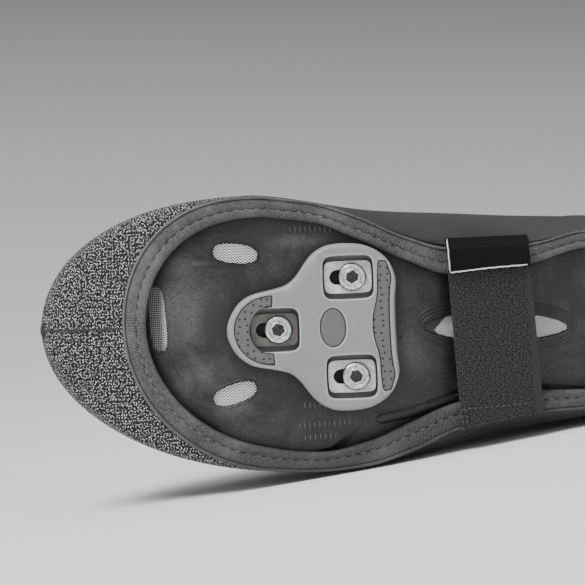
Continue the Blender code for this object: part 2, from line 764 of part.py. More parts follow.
def pad_blocks(name, grow, depth, proud=5 * MM):
    """Blocks on the grip pads' outlines, from a depth inside the cleat's face to outside it."""
    z_in, z_out = -CLEAT_THICKNESS + depth, -CLEAT_THICKNESS - proud
    return [
        prism(f"{name}_{place}", grown(points, grow), z_in, z_out)
        for place, points in zip(("front", "rear"), pad_outlines())
    ]


def prism(name, points, z0, z1):
    """An upright prism on an outline that need not be convex."""
    n = len(points)
    verts = [(x, y, z) for z in (z0, z1) for x, y in points]
    faces = [(i, (i + 1) % n, n + (i + 1) % n, n + i) for i in range(n)]
    faces += [tuple(range(n)), tuple(range(n, 2 * n))]
    return mesh_object(name, verts, faces, (1, 1, 1), 1.0)


def make_cleat_pads():
    pads = pad_blocks("cleat_grip", 0.0, PAD_POCKET, PAD_THICKNESS - PAD_POCKET)
    plug = plug_block("cleat_button", 0.0, 2.2 * MM - CLEARANCE, 0.1 * MM)
    for obj in [*pads, plug]:
        paint(obj, (0.22, 0.23, 0.25), 0.8)
    return [*pads, plug]


def make_washers():
    made = []
    for k, (x, y) in enumerate(bolt_places(), 1):
        top = -CLEAT_FLOOR - 2 * CLEARANCE
        washer = rounded_box(
            f"washer_{k}", x - WINDOW_SHIFT, y, WASHER_LENGTH, WASHER_WIDTH,
            top - WASHER_THICKNESS, top, 2.6 * MM,
        )
        slot = rounded_box(
            "slot", x - WINDOW_SHIFT, y, SLOT_LENGTH, SLOT_WIDTH, -0.02, 0.01, SLOT_WIDTH / 2.02
        )
        boolean(washer, slot)
        paint(washer, (0.66, 0.64, 0.56), 0.35, 0.9)
        made.append(washer)
    return made


def make_screws():
    """Button-head screws with a hexagon socket, down through the washers into the plate."""
    made = []
    count = 18
    for k, (x, y) in enumerate(bolt_places(), 1):
        seat = -CLEAT_FLOOR - 3 * CLEARANCE - WASHER_THICKNESS
        head = SCREW_HEAD_DIAMETER / 2
        shank = SCREW_SHANK_DIAMETER / 2
        profile = (
            (shank, PLATE_THICKNESS * 0.8),
            (shank, seat),
            (head, seat),
            (head, seat - 0.45 * SCREW_HEAD_HEIGHT),
            (head * 0.93, seat - 0.8 * SCREW_HEAD_HEIGHT),
            (head * 0.72, seat - SCREW_HEAD_HEIGHT),
        )
        rings = [
            np.array([
                (x + r * math.cos(2 * math.pi * i / count), y + r * math.sin(2 * math.pi * i / count), z)
                for i in range(count)
            ])
            for r, z in profile
        ]
        screw = stack_solid(f"screw_{k}", rings, (0.75, 0.75, 0.73), 0.25, 1.0)
        socket = post("socket", x, y, 2.3 * MM, seat - 4 * MM, seat - 0.15 * SCREW_HEAD_HEIGHT, 6)
        boolean(screw, socket)
        made.append(screw)
    return made


def strap_ends(x):
    """The strap's ends: under the label, and sewn along the binding's outer seam."""
    return -STRAP_REACH_IN * BALL_WIDTH, float(half_width("seam", 1, x)) - 0.3 * MM


def taut_line(under, x):
    """(y, z) points of a band pulled tight across the underside of some objects at station x."""
    hits = []
    first, last = strap_ends(x)
    for y in np.linspace(first, last, 4 * STRAP_COLUMNS):
        low = None
        for obj in under:
            for dx in np.linspace(-1, 1, 5) * STRAP_WIDTH / 6:
                hit, place, _, _ = obj.ray_cast(Vector((x + dx, y, -0.1)), Vector((0, 0, 1)))
                if hit and place.z < SHAFT_HEIGHT * 0.1:
                    low = place.z if low is None else min(low, place.z)
        if low is not None:
            hits.append((y, low))
    hull = []
    for point in hits:
        while len(hull) > 1:
            (ay, az), (by, bz) = hull[-2:]
            if (bz - az) * (point[0] - ay) < (point[1] - az) * (by - ay):
                break
            hull.pop()
        hull.append(point)
    ys = np.linspace(first, last, STRAP_COLUMNS)
    return ys, np.interp(ys, [h[0] for h in hull], [h[1] for h in hull]) - 2 * CLEARANCE


def strap_strip(name, under, inside, outside, length=None):
    """A strip across the arch, pulled tight over the binding, whole or its first length."""
    grids = []
    for dx in np.linspace(-0.5, 0.5, 4) * STRAP_WIDTH:
        x = LENGTH * (STRAP_STATION_IN + STRAP_STATION_OUT) / 2 + dx
        line_y, line_z = taut_line(under, x)
        ys = line_y
        if length is not None:
            end = line_y[0] + length
            ys = np.append(line_y[line_y < end - MM], end)
        z = np.interp(ys, line_y, line_z)
        share = (ys - line_y[0]) / (line_y[-1] - line_y[0])
        lean = (STRAP_STATION_OUT - STRAP_STATION_IN) * LENGTH * (share - 0.5)
        grids.append(np.stack([x + lean, ys, z], 1))
    loops = []
    for k in range(len(grids[0])):
        row = [grid[k] for grid in grids]
        near = [p - (0, 0, inside) for p in row]
        far = [p - (0, 0, outside) for p in row[::-1]]
        loops.append(np.array(near + far))
    return stack_solid(name, loops, (0.02, 0.02, 0.022), 0.9)


def make_strap(under):
    return strap_strip("strap", under, 0.0, STRAP_THICKNESS)


def make_label(under):
    inside = STRAP_THICKNESS + 2 * CLEARANCE
    label = strap_strip("label", under, inside, inside + LABEL_THICKNESS, LABEL_LENGTH)
    paint(label, (0.012, 0.012, 0.014), 0.5)
    return label


def support_rotation(points):
    """The turn that sets the shoe down on its outer side: the hull face that its weight stands
    on becomes level and the sole faces -Y."""
    laid = Matrix.Rotation(-math.pi / 2, 4, "X")
    bm = bmesh.new()
    for p in points:
        bm.verts.new(laid @ Vector(p))
    bmesh.ops.convex_hull(bm, input=bm.verts)
    bm.normal_update()
    centre = sum((laid @ Vector(p) for p in points), Vector()) / len(points)
    best = None
    for face in bm.faces:
        normal = face.normal
        if normal.z > -0.8:
            continue
        corners = [v.co for v in face.verts]
        foot = centre + normal * (corners[0] - centre).dot(normal)
        inside = min(
            (b - a).cross(foot - a).dot(normal)
            for a, b in zip(corners, corners[1:] + corners[:1])
        )
        if best is None or inside > best[0]:
            best = (inside, normal.copy())
    bm.free()
    level = best[1].rotation_difference(Vector((0, 0, -1))).to_matrix().to_4x4()
    turned = level @ laid
    along = turned @ Vector((1, 0, 0, 0))
    yaw = Matrix.Rotation(-math.atan2(along.y, along.x), 4, "Z")
    return yaw @ turned


def lay_down(objects):
    """Parents every piece to one empty and sets it on the floor, centred on the origin."""
    points = [v.co.copy() for o in objects for v in o.data.vertices]
    shell = [o for o in objects if o.name in ("upper", "toe_cap")]
    turn = support_rotation([v.co.copy() for o in shell for v in o.data.vertices])
    placed = np.array([(turn @ p.to_4d())[:3] for p in points])
    low, high = placed.min(0), placed.max(0)
    shift = Matrix.Translation((-(low[0] + high[0]) / 2, -(low[1] + high[1]) / 2, -low[2]))
    shoe = bpy.data.objects.new("shoe_frame", None)
    bpy.context.scene.collection.objects.link(shoe)
    shoe.matrix_world = shift @ turn
    for obj in objects:
        obj.parent = shoe
    return shoe


def main():
    for obj in list(bpy.data.objects):
        bpy.data.objects.remove(obj)
    upper = make_upper()
    binding = make_binding()
    strap = make_strap((upper, binding))
    objects = [
        upper,
        make_toe_cap(),
        binding,
        make_plate(),
        make_insole(),
        make_heel_pad(),
        make_cleat(),
        strap,
        make_label((upper, binding)),
        *make_vents(),
        *make_cleat_pads(),
        *make_washers(),
        *make_screws(),
    ]
    lay_down(objects)


main()
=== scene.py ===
"""The looks of a cycling overshoe, right foot, lying on its outer side, sole to the viewer."""

import json
import math

import bmesh
import bpy
import numpy as np
from mathutils import Matrix, Vector
from mathutils.bvhtree import BVHTree
from mathutils.geometry import convex_hull_2d


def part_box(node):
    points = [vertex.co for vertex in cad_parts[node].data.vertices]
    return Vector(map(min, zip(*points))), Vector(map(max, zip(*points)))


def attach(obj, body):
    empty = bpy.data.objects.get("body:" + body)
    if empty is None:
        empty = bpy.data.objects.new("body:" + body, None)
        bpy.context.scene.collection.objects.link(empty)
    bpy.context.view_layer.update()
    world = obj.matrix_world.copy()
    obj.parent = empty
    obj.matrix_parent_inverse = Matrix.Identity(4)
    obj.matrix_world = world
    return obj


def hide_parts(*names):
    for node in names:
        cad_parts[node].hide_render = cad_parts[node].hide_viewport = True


# The part's own sizes
MM = 0.001
LENGTH = 308 * MM
BALL_WIDTH = 116 * MM
SHAFT_HEIGHT = 216 * MM
TOE_SPRING = 24 * MM
UNDERSIDE_DROP = 3.7 * MM
UNDERSIDE_FOLLOW = 0.85
BINDING_TAPE = 1.3 * MM
BINDING_ROLL = 3.4 * MM
CLEARANCE = 0.35 * MM
STRAP_WIDTH = 34.5 * MM
FRONT_BOLT = 97.3 * MM
SCREW_MIDDLE = -2.5 * MM

# The camera, in the shoe's own frame: what it looks at, how far off it stands, how far it is
# raised towards the inner side, how far the shoe's length is turned in the picture.
AIM = (103.8 * MM, -15.0 * MM, -4.0 * MM)
DISTANCE = 1.1
RAISED = 1.5
TURNED = 2.5
ACROSS = 240.7 * MM  # the picture's width where it looks

# Tape, threads and cloth
TAPE_AROUND = 600  # points round the fine tape
TAPE_RIBS = 0.62 * MM
PUCKER_PITCH = 4.4 * MM
PUCKER_DEPTH = 0.16 * MM
STITCH_PITCH = 4.4 * MM
STITCH_LENGTH = 3.1 * MM
THREAD = 0.3 * MM
THREAD_AROUND = 6
STITCH_SHARE = 0.585  # of the tape's width, from the seam
ROW_LIFT = 0.1 * MM
FLECK_PITCH = 1.32 * MM
FLECK_LENGTH = 0.56 * MM
FLECK_WIDTH = 0.21 * MM
SELVEDGE = 2.6 * MM
SELVEDGE_FADE = 0.3 * MM
LOOP_PITCH = (0.95 * MM, 0.8 * MM)  # along the shoe and across it
PIT_PITCH = (3.1 * MM, 2.7 * MM)
GAUZE_PITCH = 1.15 * MM
GAUZE_FOLD = 1.6 * MM
RIBBED_PITCH = (0.8 * MM, 0.9 * MM)
RIBBED_ENDS = (48 * MM, 51 * MM)  # the toe's own vent lies in front of this
ARCH_TIP = (162 * MM, 3.4 * MM)  # the arch vent's gauze is painted in shadow just in front of here, and shows from here on
ARCH_TIP_SLANT = 0.9
LABEL_LINE = 0.27 * MM
LABEL_INSET = 0.6 * MM
SHARP = math.radians(40)  # edges of the pieces over this stay sharp
CAD_SHARP = math.radians(35)
CREASED = math.radians(38)  # and these aren't rounded when a surface is made finer
FINER = 2  # times that each face of a finer copy is halved both ways
WELD = 0.001 * MM
STRIP_END = 0.35  # the width a strip tapers to at its ends
RAY = 1.0  # how far off the lines that look for a surface start

# Plate underside: station along the length, height as a share of the toe spring.
SOLE_CURVE = (
    *((0, 1), (0.05, 0.79), (0.1, 0.57), (0.15, 0.35), (0.2, 0.15), (0.25, 0.03), (0.31, 0)),
    *((0.37, 0), (0.43, 0), (0.49, 0.06), (0.55, 0.24), (0.62, 0.45), (0.73, 0.62)),
    *((0.83, 0.66), (1, 0.72)),
)

# Half widths from below, as shares of the ball width, inner side then outer side. seam: where the
# wall meets the binding. window: the edge of the sole window.
OUTLINE_COLUMNS = ("seam", "window")
OUTLINES = (
    # station   seam           window
    (0.30, (0.476, 0.505), (0.401, 0.428)),
    (0.37, (0.445, 0.513), (0.372, 0.441)),
    (0.43, (0.388, 0.500), (0.302, 0.410)),
    (0.49, (0.312, 0.455), (0.226, 0.347)),
    (0.55, (0.266, 0.392), (0.169, 0.290)),
    (0.62, (0.260, 0.353), (0.171, 0.267)),
    (0.67, (0.271, 0.343), (0.198, 0.262)),
    (0.73, (0.305, 0.339), (0.239, 0.265)),
    (0.83, (0.315, 0.327), (0.250, 0.262)),
)

# Each outline's ends: front and back station, the length over which its front rounds on the
# inner and outer side, the length of its heel round, and how far its tip sits to the inner side.
OUTLINE_ENDS = {
    "seam": (0.105, 0.945, 0.179, 0.211, 0.130, 0.026),
    "window": (0.138, 0.912, 0.162, 0.201, 0.115, 0.026),
}
TIP_POWER_IN = 2.4
TIP_POWER_OUT = 2.0
HEEL_POWER = 2.2

# Soft folds of the wall: both ends in mm of the shoe's frame, a little outside the wall or on it,
# half width and depth in mm. A negative depth is a ridge.
FOLDS = [
    # x, y, z at one end    x, y, z at the other    half width, depth
    ((112, -50, 46), (150, -44, 30), 6.5, 1.0),
    ((112, 52, 46), (150, 48, 30), 6.5, 1.0),
]
for (x1, y1, z1), (x2, y2, z2), half_width, depth in (
    ((140, 40, 62), (172, 6, 98), 5.0, 2.0),
    ((152, 42, 66), (184, 10, 116), 5.0, -1.3),
    ((168, 44, 76), (190, 14, 136), 5.5, 2.2),
    ((196, 46, 52), (252, 42, 84), 7.0, 1.8),
    ((206, 46, 96), (262, 36, 124), 6.5, -1.4),
    ((214, 46, 140), (268, 34, 152), 7.0, 1.5),
):
    FOLDS += [((x1, s * y1, z1), (x2, s * y2, z2), half_width, depth) for s in (-1, 1)]
FOLD_POINTS = 17

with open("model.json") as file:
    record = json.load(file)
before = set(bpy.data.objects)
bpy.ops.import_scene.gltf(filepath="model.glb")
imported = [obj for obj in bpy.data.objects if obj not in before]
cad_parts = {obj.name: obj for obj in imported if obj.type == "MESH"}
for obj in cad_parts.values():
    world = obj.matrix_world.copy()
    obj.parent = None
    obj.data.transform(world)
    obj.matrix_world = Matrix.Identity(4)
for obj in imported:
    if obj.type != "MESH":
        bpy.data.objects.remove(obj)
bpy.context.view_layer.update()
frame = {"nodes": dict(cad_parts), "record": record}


def linked(obj):
    """The object, once it is in the scene."""
    bpy.context.scene.collection.objects.link(obj)
    return obj


def shoe_axes():
    """The shoe's own frame, from its three cleat screws: x to the heel, y outwards, z up."""
    middle = [sum(map(Vector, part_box(f"screw_{k}")), Vector()) / 2 for k in (1, 2, 3)]
    front, inner, outer = middle
    x = ((inner + outer) / 2 - front).normalized()
    z = x.cross(outer - inner).normalized()
    y = z.cross(x)
    turn = Matrix((x, y, z)).transposed().to_4x4()
    origin = front - x * FRONT_BOLT - z * SCREW_MIDDLE
    return Matrix.Translation(origin) @ turn


SHOE = shoe_axes()
TO_SHOE = SHOE.inverted()
axes = linked(bpy.data.objects.new("shoe_axes", None))
axes.matrix_world = SHOE
axes.hide_render = True


# Outlines, as the part's own


def run_along(points):
    """The distance run at each of a row of points."""
    return np.concatenate([[0], np.cumsum(np.linalg.norm(np.diff(points, axis=0), axis=1))])


def smooth(t):
    """Ease from 0 to 1 with level ends."""
    t = np.clip(t, 0.0, 1.0)
    return t * t * (3 - 2 * t)


def through(rows, at):
    """A smooth curve through (position, value) rows with no overshoot, read at positions."""
    xs = np.array([r[0] for r in rows], float)
    ys = np.array([r[1] for r in rows], float)
    rise = np.diff(ys) / np.diff(xs)
    slopes = np.zeros_like(ys)
    level = rise[1:] * rise[:-1] <= 0
    total = np.where(level, 1.0, rise[1:] + rise[:-1])
    slopes[1:-1] = np.where(level, 0.0, 2 * rise[1:] * rise[:-1] / total)
    slopes[0], slopes[-1] = rise[0], rise[-1]
    at = np.clip(np.asarray(at, float), xs[0], xs[-1])
    i = np.clip(np.searchsorted(xs, at, side="right") - 1, 0, len(xs) - 2)
    h = xs[i + 1] - xs[i]
    t = (at - xs[i]) / h
    return (
        (2 * t**3 - 3 * t**2 + 1) * ys[i]
        + (t**3 - 2 * t**2 + t) * h * slopes[i]
        + (-2 * t**3 + 3 * t**2) * ys[i + 1]
        + (t**3 - t**2) * h * slopes[i + 1]
    )


def sole_height(x):
    """Height of the plate's underside on the middle line."""
    return TOE_SPRING * through(SOLE_CURVE, np.asarray(x) / LENGTH)


def cap(distance, length, power):
    """Rounds an outline's end: 0 at its tip and 1 a length behind it."""
    s = np.clip(distance / length, 0.0, 1.0)
    return np.sqrt(np.clip(1 - (1 - s) ** power, 0.0, 1.0))


def outline(column, n):
    """(x, y) of a named outline as n points from the toe tip round by the inner side."""
    front, back, nose_in, nose_out, heel, tip = OUTLINE_ENDS[column]
    half = n // 2
    t = np.arange(half + 1) / half
    along = front + (back - front) * (1 - np.cos(math.pi * t)) / 2
    x = np.concatenate([along, along[-2:0:-1]]) * LENGTH
    side = np.concatenate([np.zeros(half + 1, int), np.ones(half - 1, int)])
    y = np.zeros_like(x)
    k = 1 + OUTLINE_COLUMNS.index(column)
    for s, power, nose in ((0, TIP_POWER_IN, nose_in), (1, TIP_POWER_OUT, nose_out)):
        m = side == s
        width = BALL_WIDTH * through([(row[0], row[k][s]) for row in OUTLINES], x[m] / LENGTH)
        nose_cap = cap(x[m] - front * LENGTH, nose * LENGTH, power)
        heel_cap = cap(back * LENGTH - x[m], heel * LENGTH, HEEL_POWER)
        sign = 1 if s else -1
        y[m] = sign * width * nose_cap * heel_cap - tip * BALL_WIDTH * (1 - nose_cap)
    return x, y


def even(loop, n):
    """A closed loop of points read again at n even steps along its length."""
    loop = np.asarray(loop)
    ends = np.vstack([loop, loop[:1]])
    run = run_along(ends)
    at = np.arange(n) / n * run[-1]
    return np.stack([np.interp(at, run, ends[:, k]) for k in range(ends.shape[1])], 1)


def binding_loop(share, height, n):
    """A loop of points along the binding: share 0 is the seam and 1 the window's edge."""
    sx, sy = outline("seam", n)
    wx, wy = outline("window", n)
    x, y = sx + (wx - sx) * share, sy + (wy - sy) * share
    low = UNDERSIDE_FOLLOW * sole_height(x) - UNDERSIDE_DROP
    rest = UNDERSIDE_FOLLOW * sole_height(x) - CLEARANCE - BINDING_ROLL
    return np.stack([x, y, low + (rest - low) * smooth(share) + height], 1)


# Meshes


def shoe_points(obj):
    """An object's vertices in the shoe's frame."""
    turn = TO_SHOE @ obj.matrix_world
    return [turn @ v.co for v in obj.data.vertices]


def tree_of(obj):
    """The faces of an object for rays, in the shoe's frame."""
    return BVHTree.FromPolygons(shoe_points(obj), [tuple(p.vertices) for p in obj.data.polygons])


TREES = {name: tree_of(node) for name, node in frame["nodes"].items()}


def extent(name):
    """The low and high corner of a CAD node in the shoe's frame."""
    points = np.array([tuple(p) for p in shoe_points(frame["nodes"][name])])
    return points.min(axis=0), points.max(axis=0)


def below(name, x, y, lift=0.0):
    """(point, normal) where a line up from under the shoe first meets a node."""
    hit, normal, _, _ = TREES[name].ray_cast(Vector((x, y, -RAY)), Vector((0, 0, 1)))
    return (hit + normal * lift, normal) if hit else (None, None)


def inwards(name, centre, direction, lift=0.0):
    """(point, normal) where a line from outside towards a centre first meets a node."""
    way = Vector(direction).normalized()
    hit, normal, _, _ = TREES[name].ray_cast(Vector(centre) + way * RAY, -way)
    return (hit + normal * lift, normal) if hit else (None, None)


def met(found):
    """The (point, normal) pairs whose line met a surface."""
    return [(p, u) for p, u in found if p is not None]


def add_piece(name, mesh, slot, node=None):
    """A mesh in the shoe's frame as a piece of the scene, in place of a CAD node if named."""
    obj = linked(bpy.data.objects.new(name, mesh))
    obj.matrix_world = SHOE
    mesh.shade_smooth()
    mesh.set_sharp_from_angle(angle=SHARP)
    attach(obj, "root")
    if node:
        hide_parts(node)
    mesh.materials.append(MADE[slot])
    return obj


def mesh_from(name, verts, faces):
    """A mesh from plain points and faces."""
    mesh = bpy.data.meshes.new(name)
    mesh.from_pydata([tuple(map(float, v)) for v in verts], [], faces)
    mesh.update()
    return mesh


def turn_outwards(mesh, weld=0.0):
    """Turns a mesh's faces outwards, once points closer than a distance are joined."""
    bm = bmesh.new()
    bm.from_mesh(mesh)
    if weld:
        bmesh.ops.remove_doubles(bm, verts=bm.verts, dist=weld)
    bmesh.ops.recalc_face_normals(bm, faces=bm.faces[:])
    bm.to_mesh(mesh)
    bm.free()


def tube_faces(rings, around, closed):
    """Faces between rings of points, each with the same number around."""
    count = rings if closed else rings - 1
    faces = []
    for r in range(count):
        for k in range(around):
            here, ahead, beside = r * around, (r + 1) % rings * around, (k + 1) % around
            faces.append((here + k, here + beside, ahead + beside, ahead + k))
    return faces


def swept(path, normals, width, height, around=8, closed=False):
    """Verts and faces of a rounded strip along a path: half width across, half height out."""
    n = len(path)
    verts = []
    for i, (p, up) in enumerate(zip(path, normals)):
        a = path[(i + 1) % n] if closed or i < n - 1 else p
        b = path[i - 1] if closed or i else p
        ahead = (Vector(a) - Vector(b)).normalized()
        out = Vector(up).normalized()
        side = ahead.cross(out).normalized()
        s = 1.0 if closed else min(1.0, STRIP_END + (1 - STRIP_END) * min(i, n - 1 - i) / 2)
        for k in range(around):
            t = 2 * math.pi * k / around
            across, off = width * s * math.cos(t), height * s * math.sin(t)
            verts.append(Vector(p) + side * across + out * off)
    faces = tube_faces(n, around, closed)
    if not closed:
        faces.append(tuple(range(around))[::-1])
        faces.append(tuple((n - 1) * around + k for k in range(around)))
    return verts, faces


def joined(parts):
    """Several (verts, faces) as one."""
    verts, faces = [], []
    for v, f in parts:
        base = len(verts)
        verts += v
        faces += [tuple(base + k for k in face) for face in f]
    return verts, faces


def strip_piece(name, parts, slot, material=None):
    """Rounded strips as one piece, with its faces turned outwards."""
    mesh = mesh_from(name, *joined(parts))
    turn_outwards(mesh)
    add_piece(name, mesh, slot)
    if material:
        mesh.materials.clear()
        mesh.materials.append(material)


def along(points, pitch, length, steps=4):
    """Short runs of points along a path of (point, normal), one every pitch."""
    path, ups = (np.array([tuple(row[k]) for row in points]) for k in (0, 1))
    run = run_along(path)
    for k in range(int((run[-1] - length) / pitch) + 1):
        at = k * pitch + length * np.arange(steps + 1) / steps
        yield tuple(
            [Vector([np.interp(s, run, rows[:, j]) for j in range(3)]) for s in at]
            for rows in (path, ups)
        )


def stitches(points, pitch=STITCH_PITCH, length=STITCH_LENGTH):
    """Thread dashes along a path of (point, normal), their ends sunk into the cloth."""
    parts = []
    for path, ups in along(points, pitch, length):
        for i in (0, -1):
            path[i] = path[i] - ups[i].normalized() * THREAD
        parts.append(swept(path, ups, THREAD, THREAD, THREAD_AROUND))
    return parts


# Node helpers


class Look:
    """A material and short calls for the nodes it is made of."""

    def __init__(self, name, roughness=0.7, metallic=0.0, **sockets):
        self.material = bpy.data.materials.new(name)
        self.material.use_nodes = True
        self.tree = self.material.node_tree
        self.shader = self.tree.nodes["Principled BSDF"]
        self.put("Roughness", roughness)
        self.put("Metallic", metallic)
        for key, value in sockets.items():
            self.put(key.replace("_", " "), value)
        coordinates = self.add("ShaderNodeTexCoord", object=axes)
        self.place = coordinates.outputs["Object"]
        self.own_normal = coordinates.outputs["Normal"]
        self.uv = coordinates.outputs["UV"]

    def add(self, kind, **settings):
        """A new node with these settings."""
        node = self.tree.nodes.new(kind)
        for key, value in settings.items():
            setattr(node, key, value)
        return node

    def set(self, socket, value):
        """Links a socket, or gives it a constant."""
        if isinstance(value, bpy.types.NodeSocket):
            self.tree.links.new(value, socket)
        elif isinstance(value, (tuple, list)) and socket.type == "RGBA" and len(value) == 3:
            socket.default_value = (*value, 1.0)
        else:
            socket.default_value = value

    def put(self, name, value):
        """Sets one of the shader's own sockets."""
        self.set(self.shader.inputs[name], value)

    def calc(self, operation, a, b=0.0):
        node = self.add("ShaderNodeMath", operation=operation)
        self.set(node.inputs[0], a)
        self.set(node.inputs[1], b)
        return node.outputs[0]

    def times(self, a, b):
        return self.calc("MULTIPLY", a, b)

    def less(self, a, b):
        return self.calc("SUBTRACT", a, b)

    def dot(self, a, b):
        return self.vector("DOT_PRODUCT", a, b)

    def vector(self, operation, a, b=(0, 0, 0)):
        node = self.add("ShaderNodeVectorMath", operation=operation)
        self.set(node.inputs[0], a)
        self.set(node.inputs[1], b)
        return node.outputs["Value" if operation in ("LENGTH", "DOT_PRODUCT") else "Vector"]

    def most(self, values):
        """The largest of several values."""
        most = 0.0
        for value in values:
            most = self.calc("MAXIMUM", most, value)
        return most

    def wave(self, operation, value, pitch):
        """A sine or cosine with one full wave every pitch."""
        return self.calc(operation, self.times(value, 2 * math.pi / pitch))

    def scaled(self, x, y, z):
        """The shoe's coordinates times a scale for each axis."""
        return self.vector("MULTIPLY", self.place, (x, y, z))

    def axis(self, k, source=None):
        """One coordinate, of the shoe's frame unless a source is given."""
        node = self.add("ShaderNodeSeparateXYZ")
        self.set(node.inputs[0], source or self.place)
        return node.outputs[k]

    def noise(self, scale, detail=3.0, roughness=0.55, source=None, distortion=0.0):
        node = self.add("ShaderNodeTexNoise")
        values = (source or self.place, scale, detail, roughness, distortion)
        for key, value in zip(("Vector", "Scale", "Detail", "Roughness", "Distortion"), values):
            self.set(node.inputs[key], value)
        return node.outputs["Fac"]

    def cells(self, scale, source=None, randomness=1.0, flat=False):
        """A Voronoi node; flat reads two axes only."""
        node = self.add("ShaderNodeTexVoronoi", voronoi_dimensions="2D" if flat else "3D")
        values = (source or self.place, scale, randomness)
        for key, value in zip(("Vector", "Scale", "Randomness"), values):
            self.set(node.inputs[key], value)
        return node

    def span(self, value, low, high, to_low=0.0, to_high=1.0):
        """A value eased from one range to another."""
        node = self.add("ShaderNodeMapRange", interpolation_type="SMOOTHSTEP")
        for k, item in enumerate((value, low, high, to_low, to_high)):
            self.set(node.inputs[k], item)
        return node.outputs[0]

    def mix(self, share, a, b):
        """A colour from a to b by a share."""
        node = self.add("ShaderNodeMix", data_type="RGBA")
        self.set(node.inputs["Factor"], share)
        self.set(node.inputs[6], a)
        self.set(node.inputs[7], b)
        return node.outputs[2]

    def bump(self, height, depth, normal=None):
        """Raises the surface by height (0 to 1) times a depth in metres."""
        node = self.add("ShaderNodeBump")
        node.inputs["Strength"].default_value = 1.0
        node.inputs["Distance"].default_value = depth
        self.set(node.inputs["Height"], height)
        if normal is not None:
            self.set(node.inputs["Normal"], normal)
        return node.outputs[0]

    def done(self, colour, height=None, depth=0.0, normal=None):
        """The material, once its colour and its bump are linked."""
        self.put("Base Color", colour)
        if height is not None:
            self.put("Normal", self.bump(height, depth, normal))
        return self.material

    def rims(self, reach, low=0.015, high=0.16):
        """1 along sharp edges, over a reach in metres, and the surface's normal rounded there."""
        rounded = self.add("ShaderNodeBevel", samples=6)
        rounded.inputs["Radius"].default_value = reach
        normal = self.add("ShaderNodeNewGeometry").outputs["Normal"]
        turned = self.dot(rounded.outputs[0], normal)
        return self.span(turned, 1 - high, 1 - low, 1.0, 0.0), rounded.outputs[0]

    def near(self, value, place, reach):
        """1 where a value is at a place, easing to 0 a reach away."""
        gap = self.calc("ABSOLUTE", self.less(value, place))
        return self.span(gap, 0.0, reach, 1.0, 0.0)

    def shelter(self, reach):
        """1 in the open, less where other parts stand close by, within a reach in metres."""
        node = self.add("ShaderNodeAmbientOcclusion", samples=6)
        node.inputs["Distance"].default_value = reach
        return node.outputs["AO"]

    def blot(self, x, y, reach_x, reach_y):
        """1 at a place on the sole in mm of the shoe's frame, easing to 0 at its reach."""
        shifted = self.vector("SUBTRACT", self.place, (x * MM, y * MM, 0))
        flat = self.vector("MULTIPLY", shifted, (1 / (reach_x * MM), 1 / (reach_y * MM), 0))
        return self.span(self.vector("LENGTH", flat), 0.15, 1.0, 1.0, 0.0)

    def line(self, a, b, width):
        """1 along a line between two places on the sole in mm, easing to 0 at its half width."""
        ax, ay, bx, by = a[0] * MM, a[1] * MM, b[0] * MM, b[1] * MM
        run = math.hypot(bx - ax, by - ay)
        way = ((bx - ax) / run, (by - ay) / run, 0)
        shifted = self.vector("SUBTRACT", self.place, (ax, ay, 0))
        ahead = self.dot(shifted, way)
        over = self.calc("ABSOLUTE", self.dot(shifted, (-way[1], way[0], 0)))
        across = self.span(over, 0.0, width * MM, 1.0, 0.0)
        start = self.span(ahead, -2 * MM, 4 * MM)
        end = self.span(ahead, run - 4 * MM, run + 2 * MM, 1.0, 0.0)
        return self.times(across, self.times(start, end))


def grey(value, blue=1.0):
    """A linear grey from a display value of 0 to 255, a little bluer where blue is over 1."""
    linear = (value / 255) ** 2.2
    return (linear, linear * (1 + (blue - 1) * 0.4), linear * blue)


# Materials


def plain(name, value, roughness):
    """One even grey."""
    look = Look(name, roughness)
    return look.done(grey(value))


def neoprene():
    """Dull dark cloth skin, a little uneven in tone."""
    look = Look("neoprene", 0.74, Sheen_Weight=0.04)
    fine = look.noise(2400, 2)
    soft = look.noise(26, 3)
    colour = look.mix(look.span(soft, 0.3, 0.7), grey(46, 1.03), grey(54, 1.03))
    colour = look.mix(look.span(fine, 0.35, 0.8, 0.0, 0.3), colour, grey(72, 1.03))
    return look.done(colour, fine, 0.00005)


def toe_fleck():
    """Near black cloth with short light flecks that lie every way."""
    look = Look("toe_fleck", 0.66)
    look.put("Specular IOR Level", 0.25)
    cell = look.cells(1 / FLECK_PITCH, randomness=0.62)
    offset = look.vector("SUBTRACT", look.place, cell.outputs["Position"])
    lean = look.vector("SUBTRACT", cell.outputs["Color"], (0.5, 0.5, 0.5))
    way = look.vector("NORMALIZE", look.vector("CROSS_PRODUCT", look.own_normal, lean))
    cross = look.vector("CROSS_PRODUCT", look.own_normal, way)
    ahead = look.calc("ABSOLUTE", look.dot(offset, way))
    aside = look.calc("ABSOLUTE", look.dot(offset, cross))
    long = look.span(ahead, FLECK_LENGTH * 0.75, FLECK_LENGTH, 1.0, 0.0)
    thin = look.span(aside, FLECK_WIDTH * 0.55, FLECK_WIDTH * 1.25, 1.0, 0.0)
    fleck = look.times(long, thin)
    under = look.span(look.axis(2, look.own_normal), -0.06, 0.12, 1.0, 0.0)
    fleck = look.times(fleck, under)
    shade = look.noise(700, 1)
    light = look.mix(look.span(shade, 0.35, 0.65), grey(140, 1.02), grey(236, 1.02))
    ground = look.mix(look.span(look.noise(1600, 2), 0.3, 0.7), grey(6), grey(58))
    return look.done(look.mix(fleck, ground, light), fleck, 0.00035)


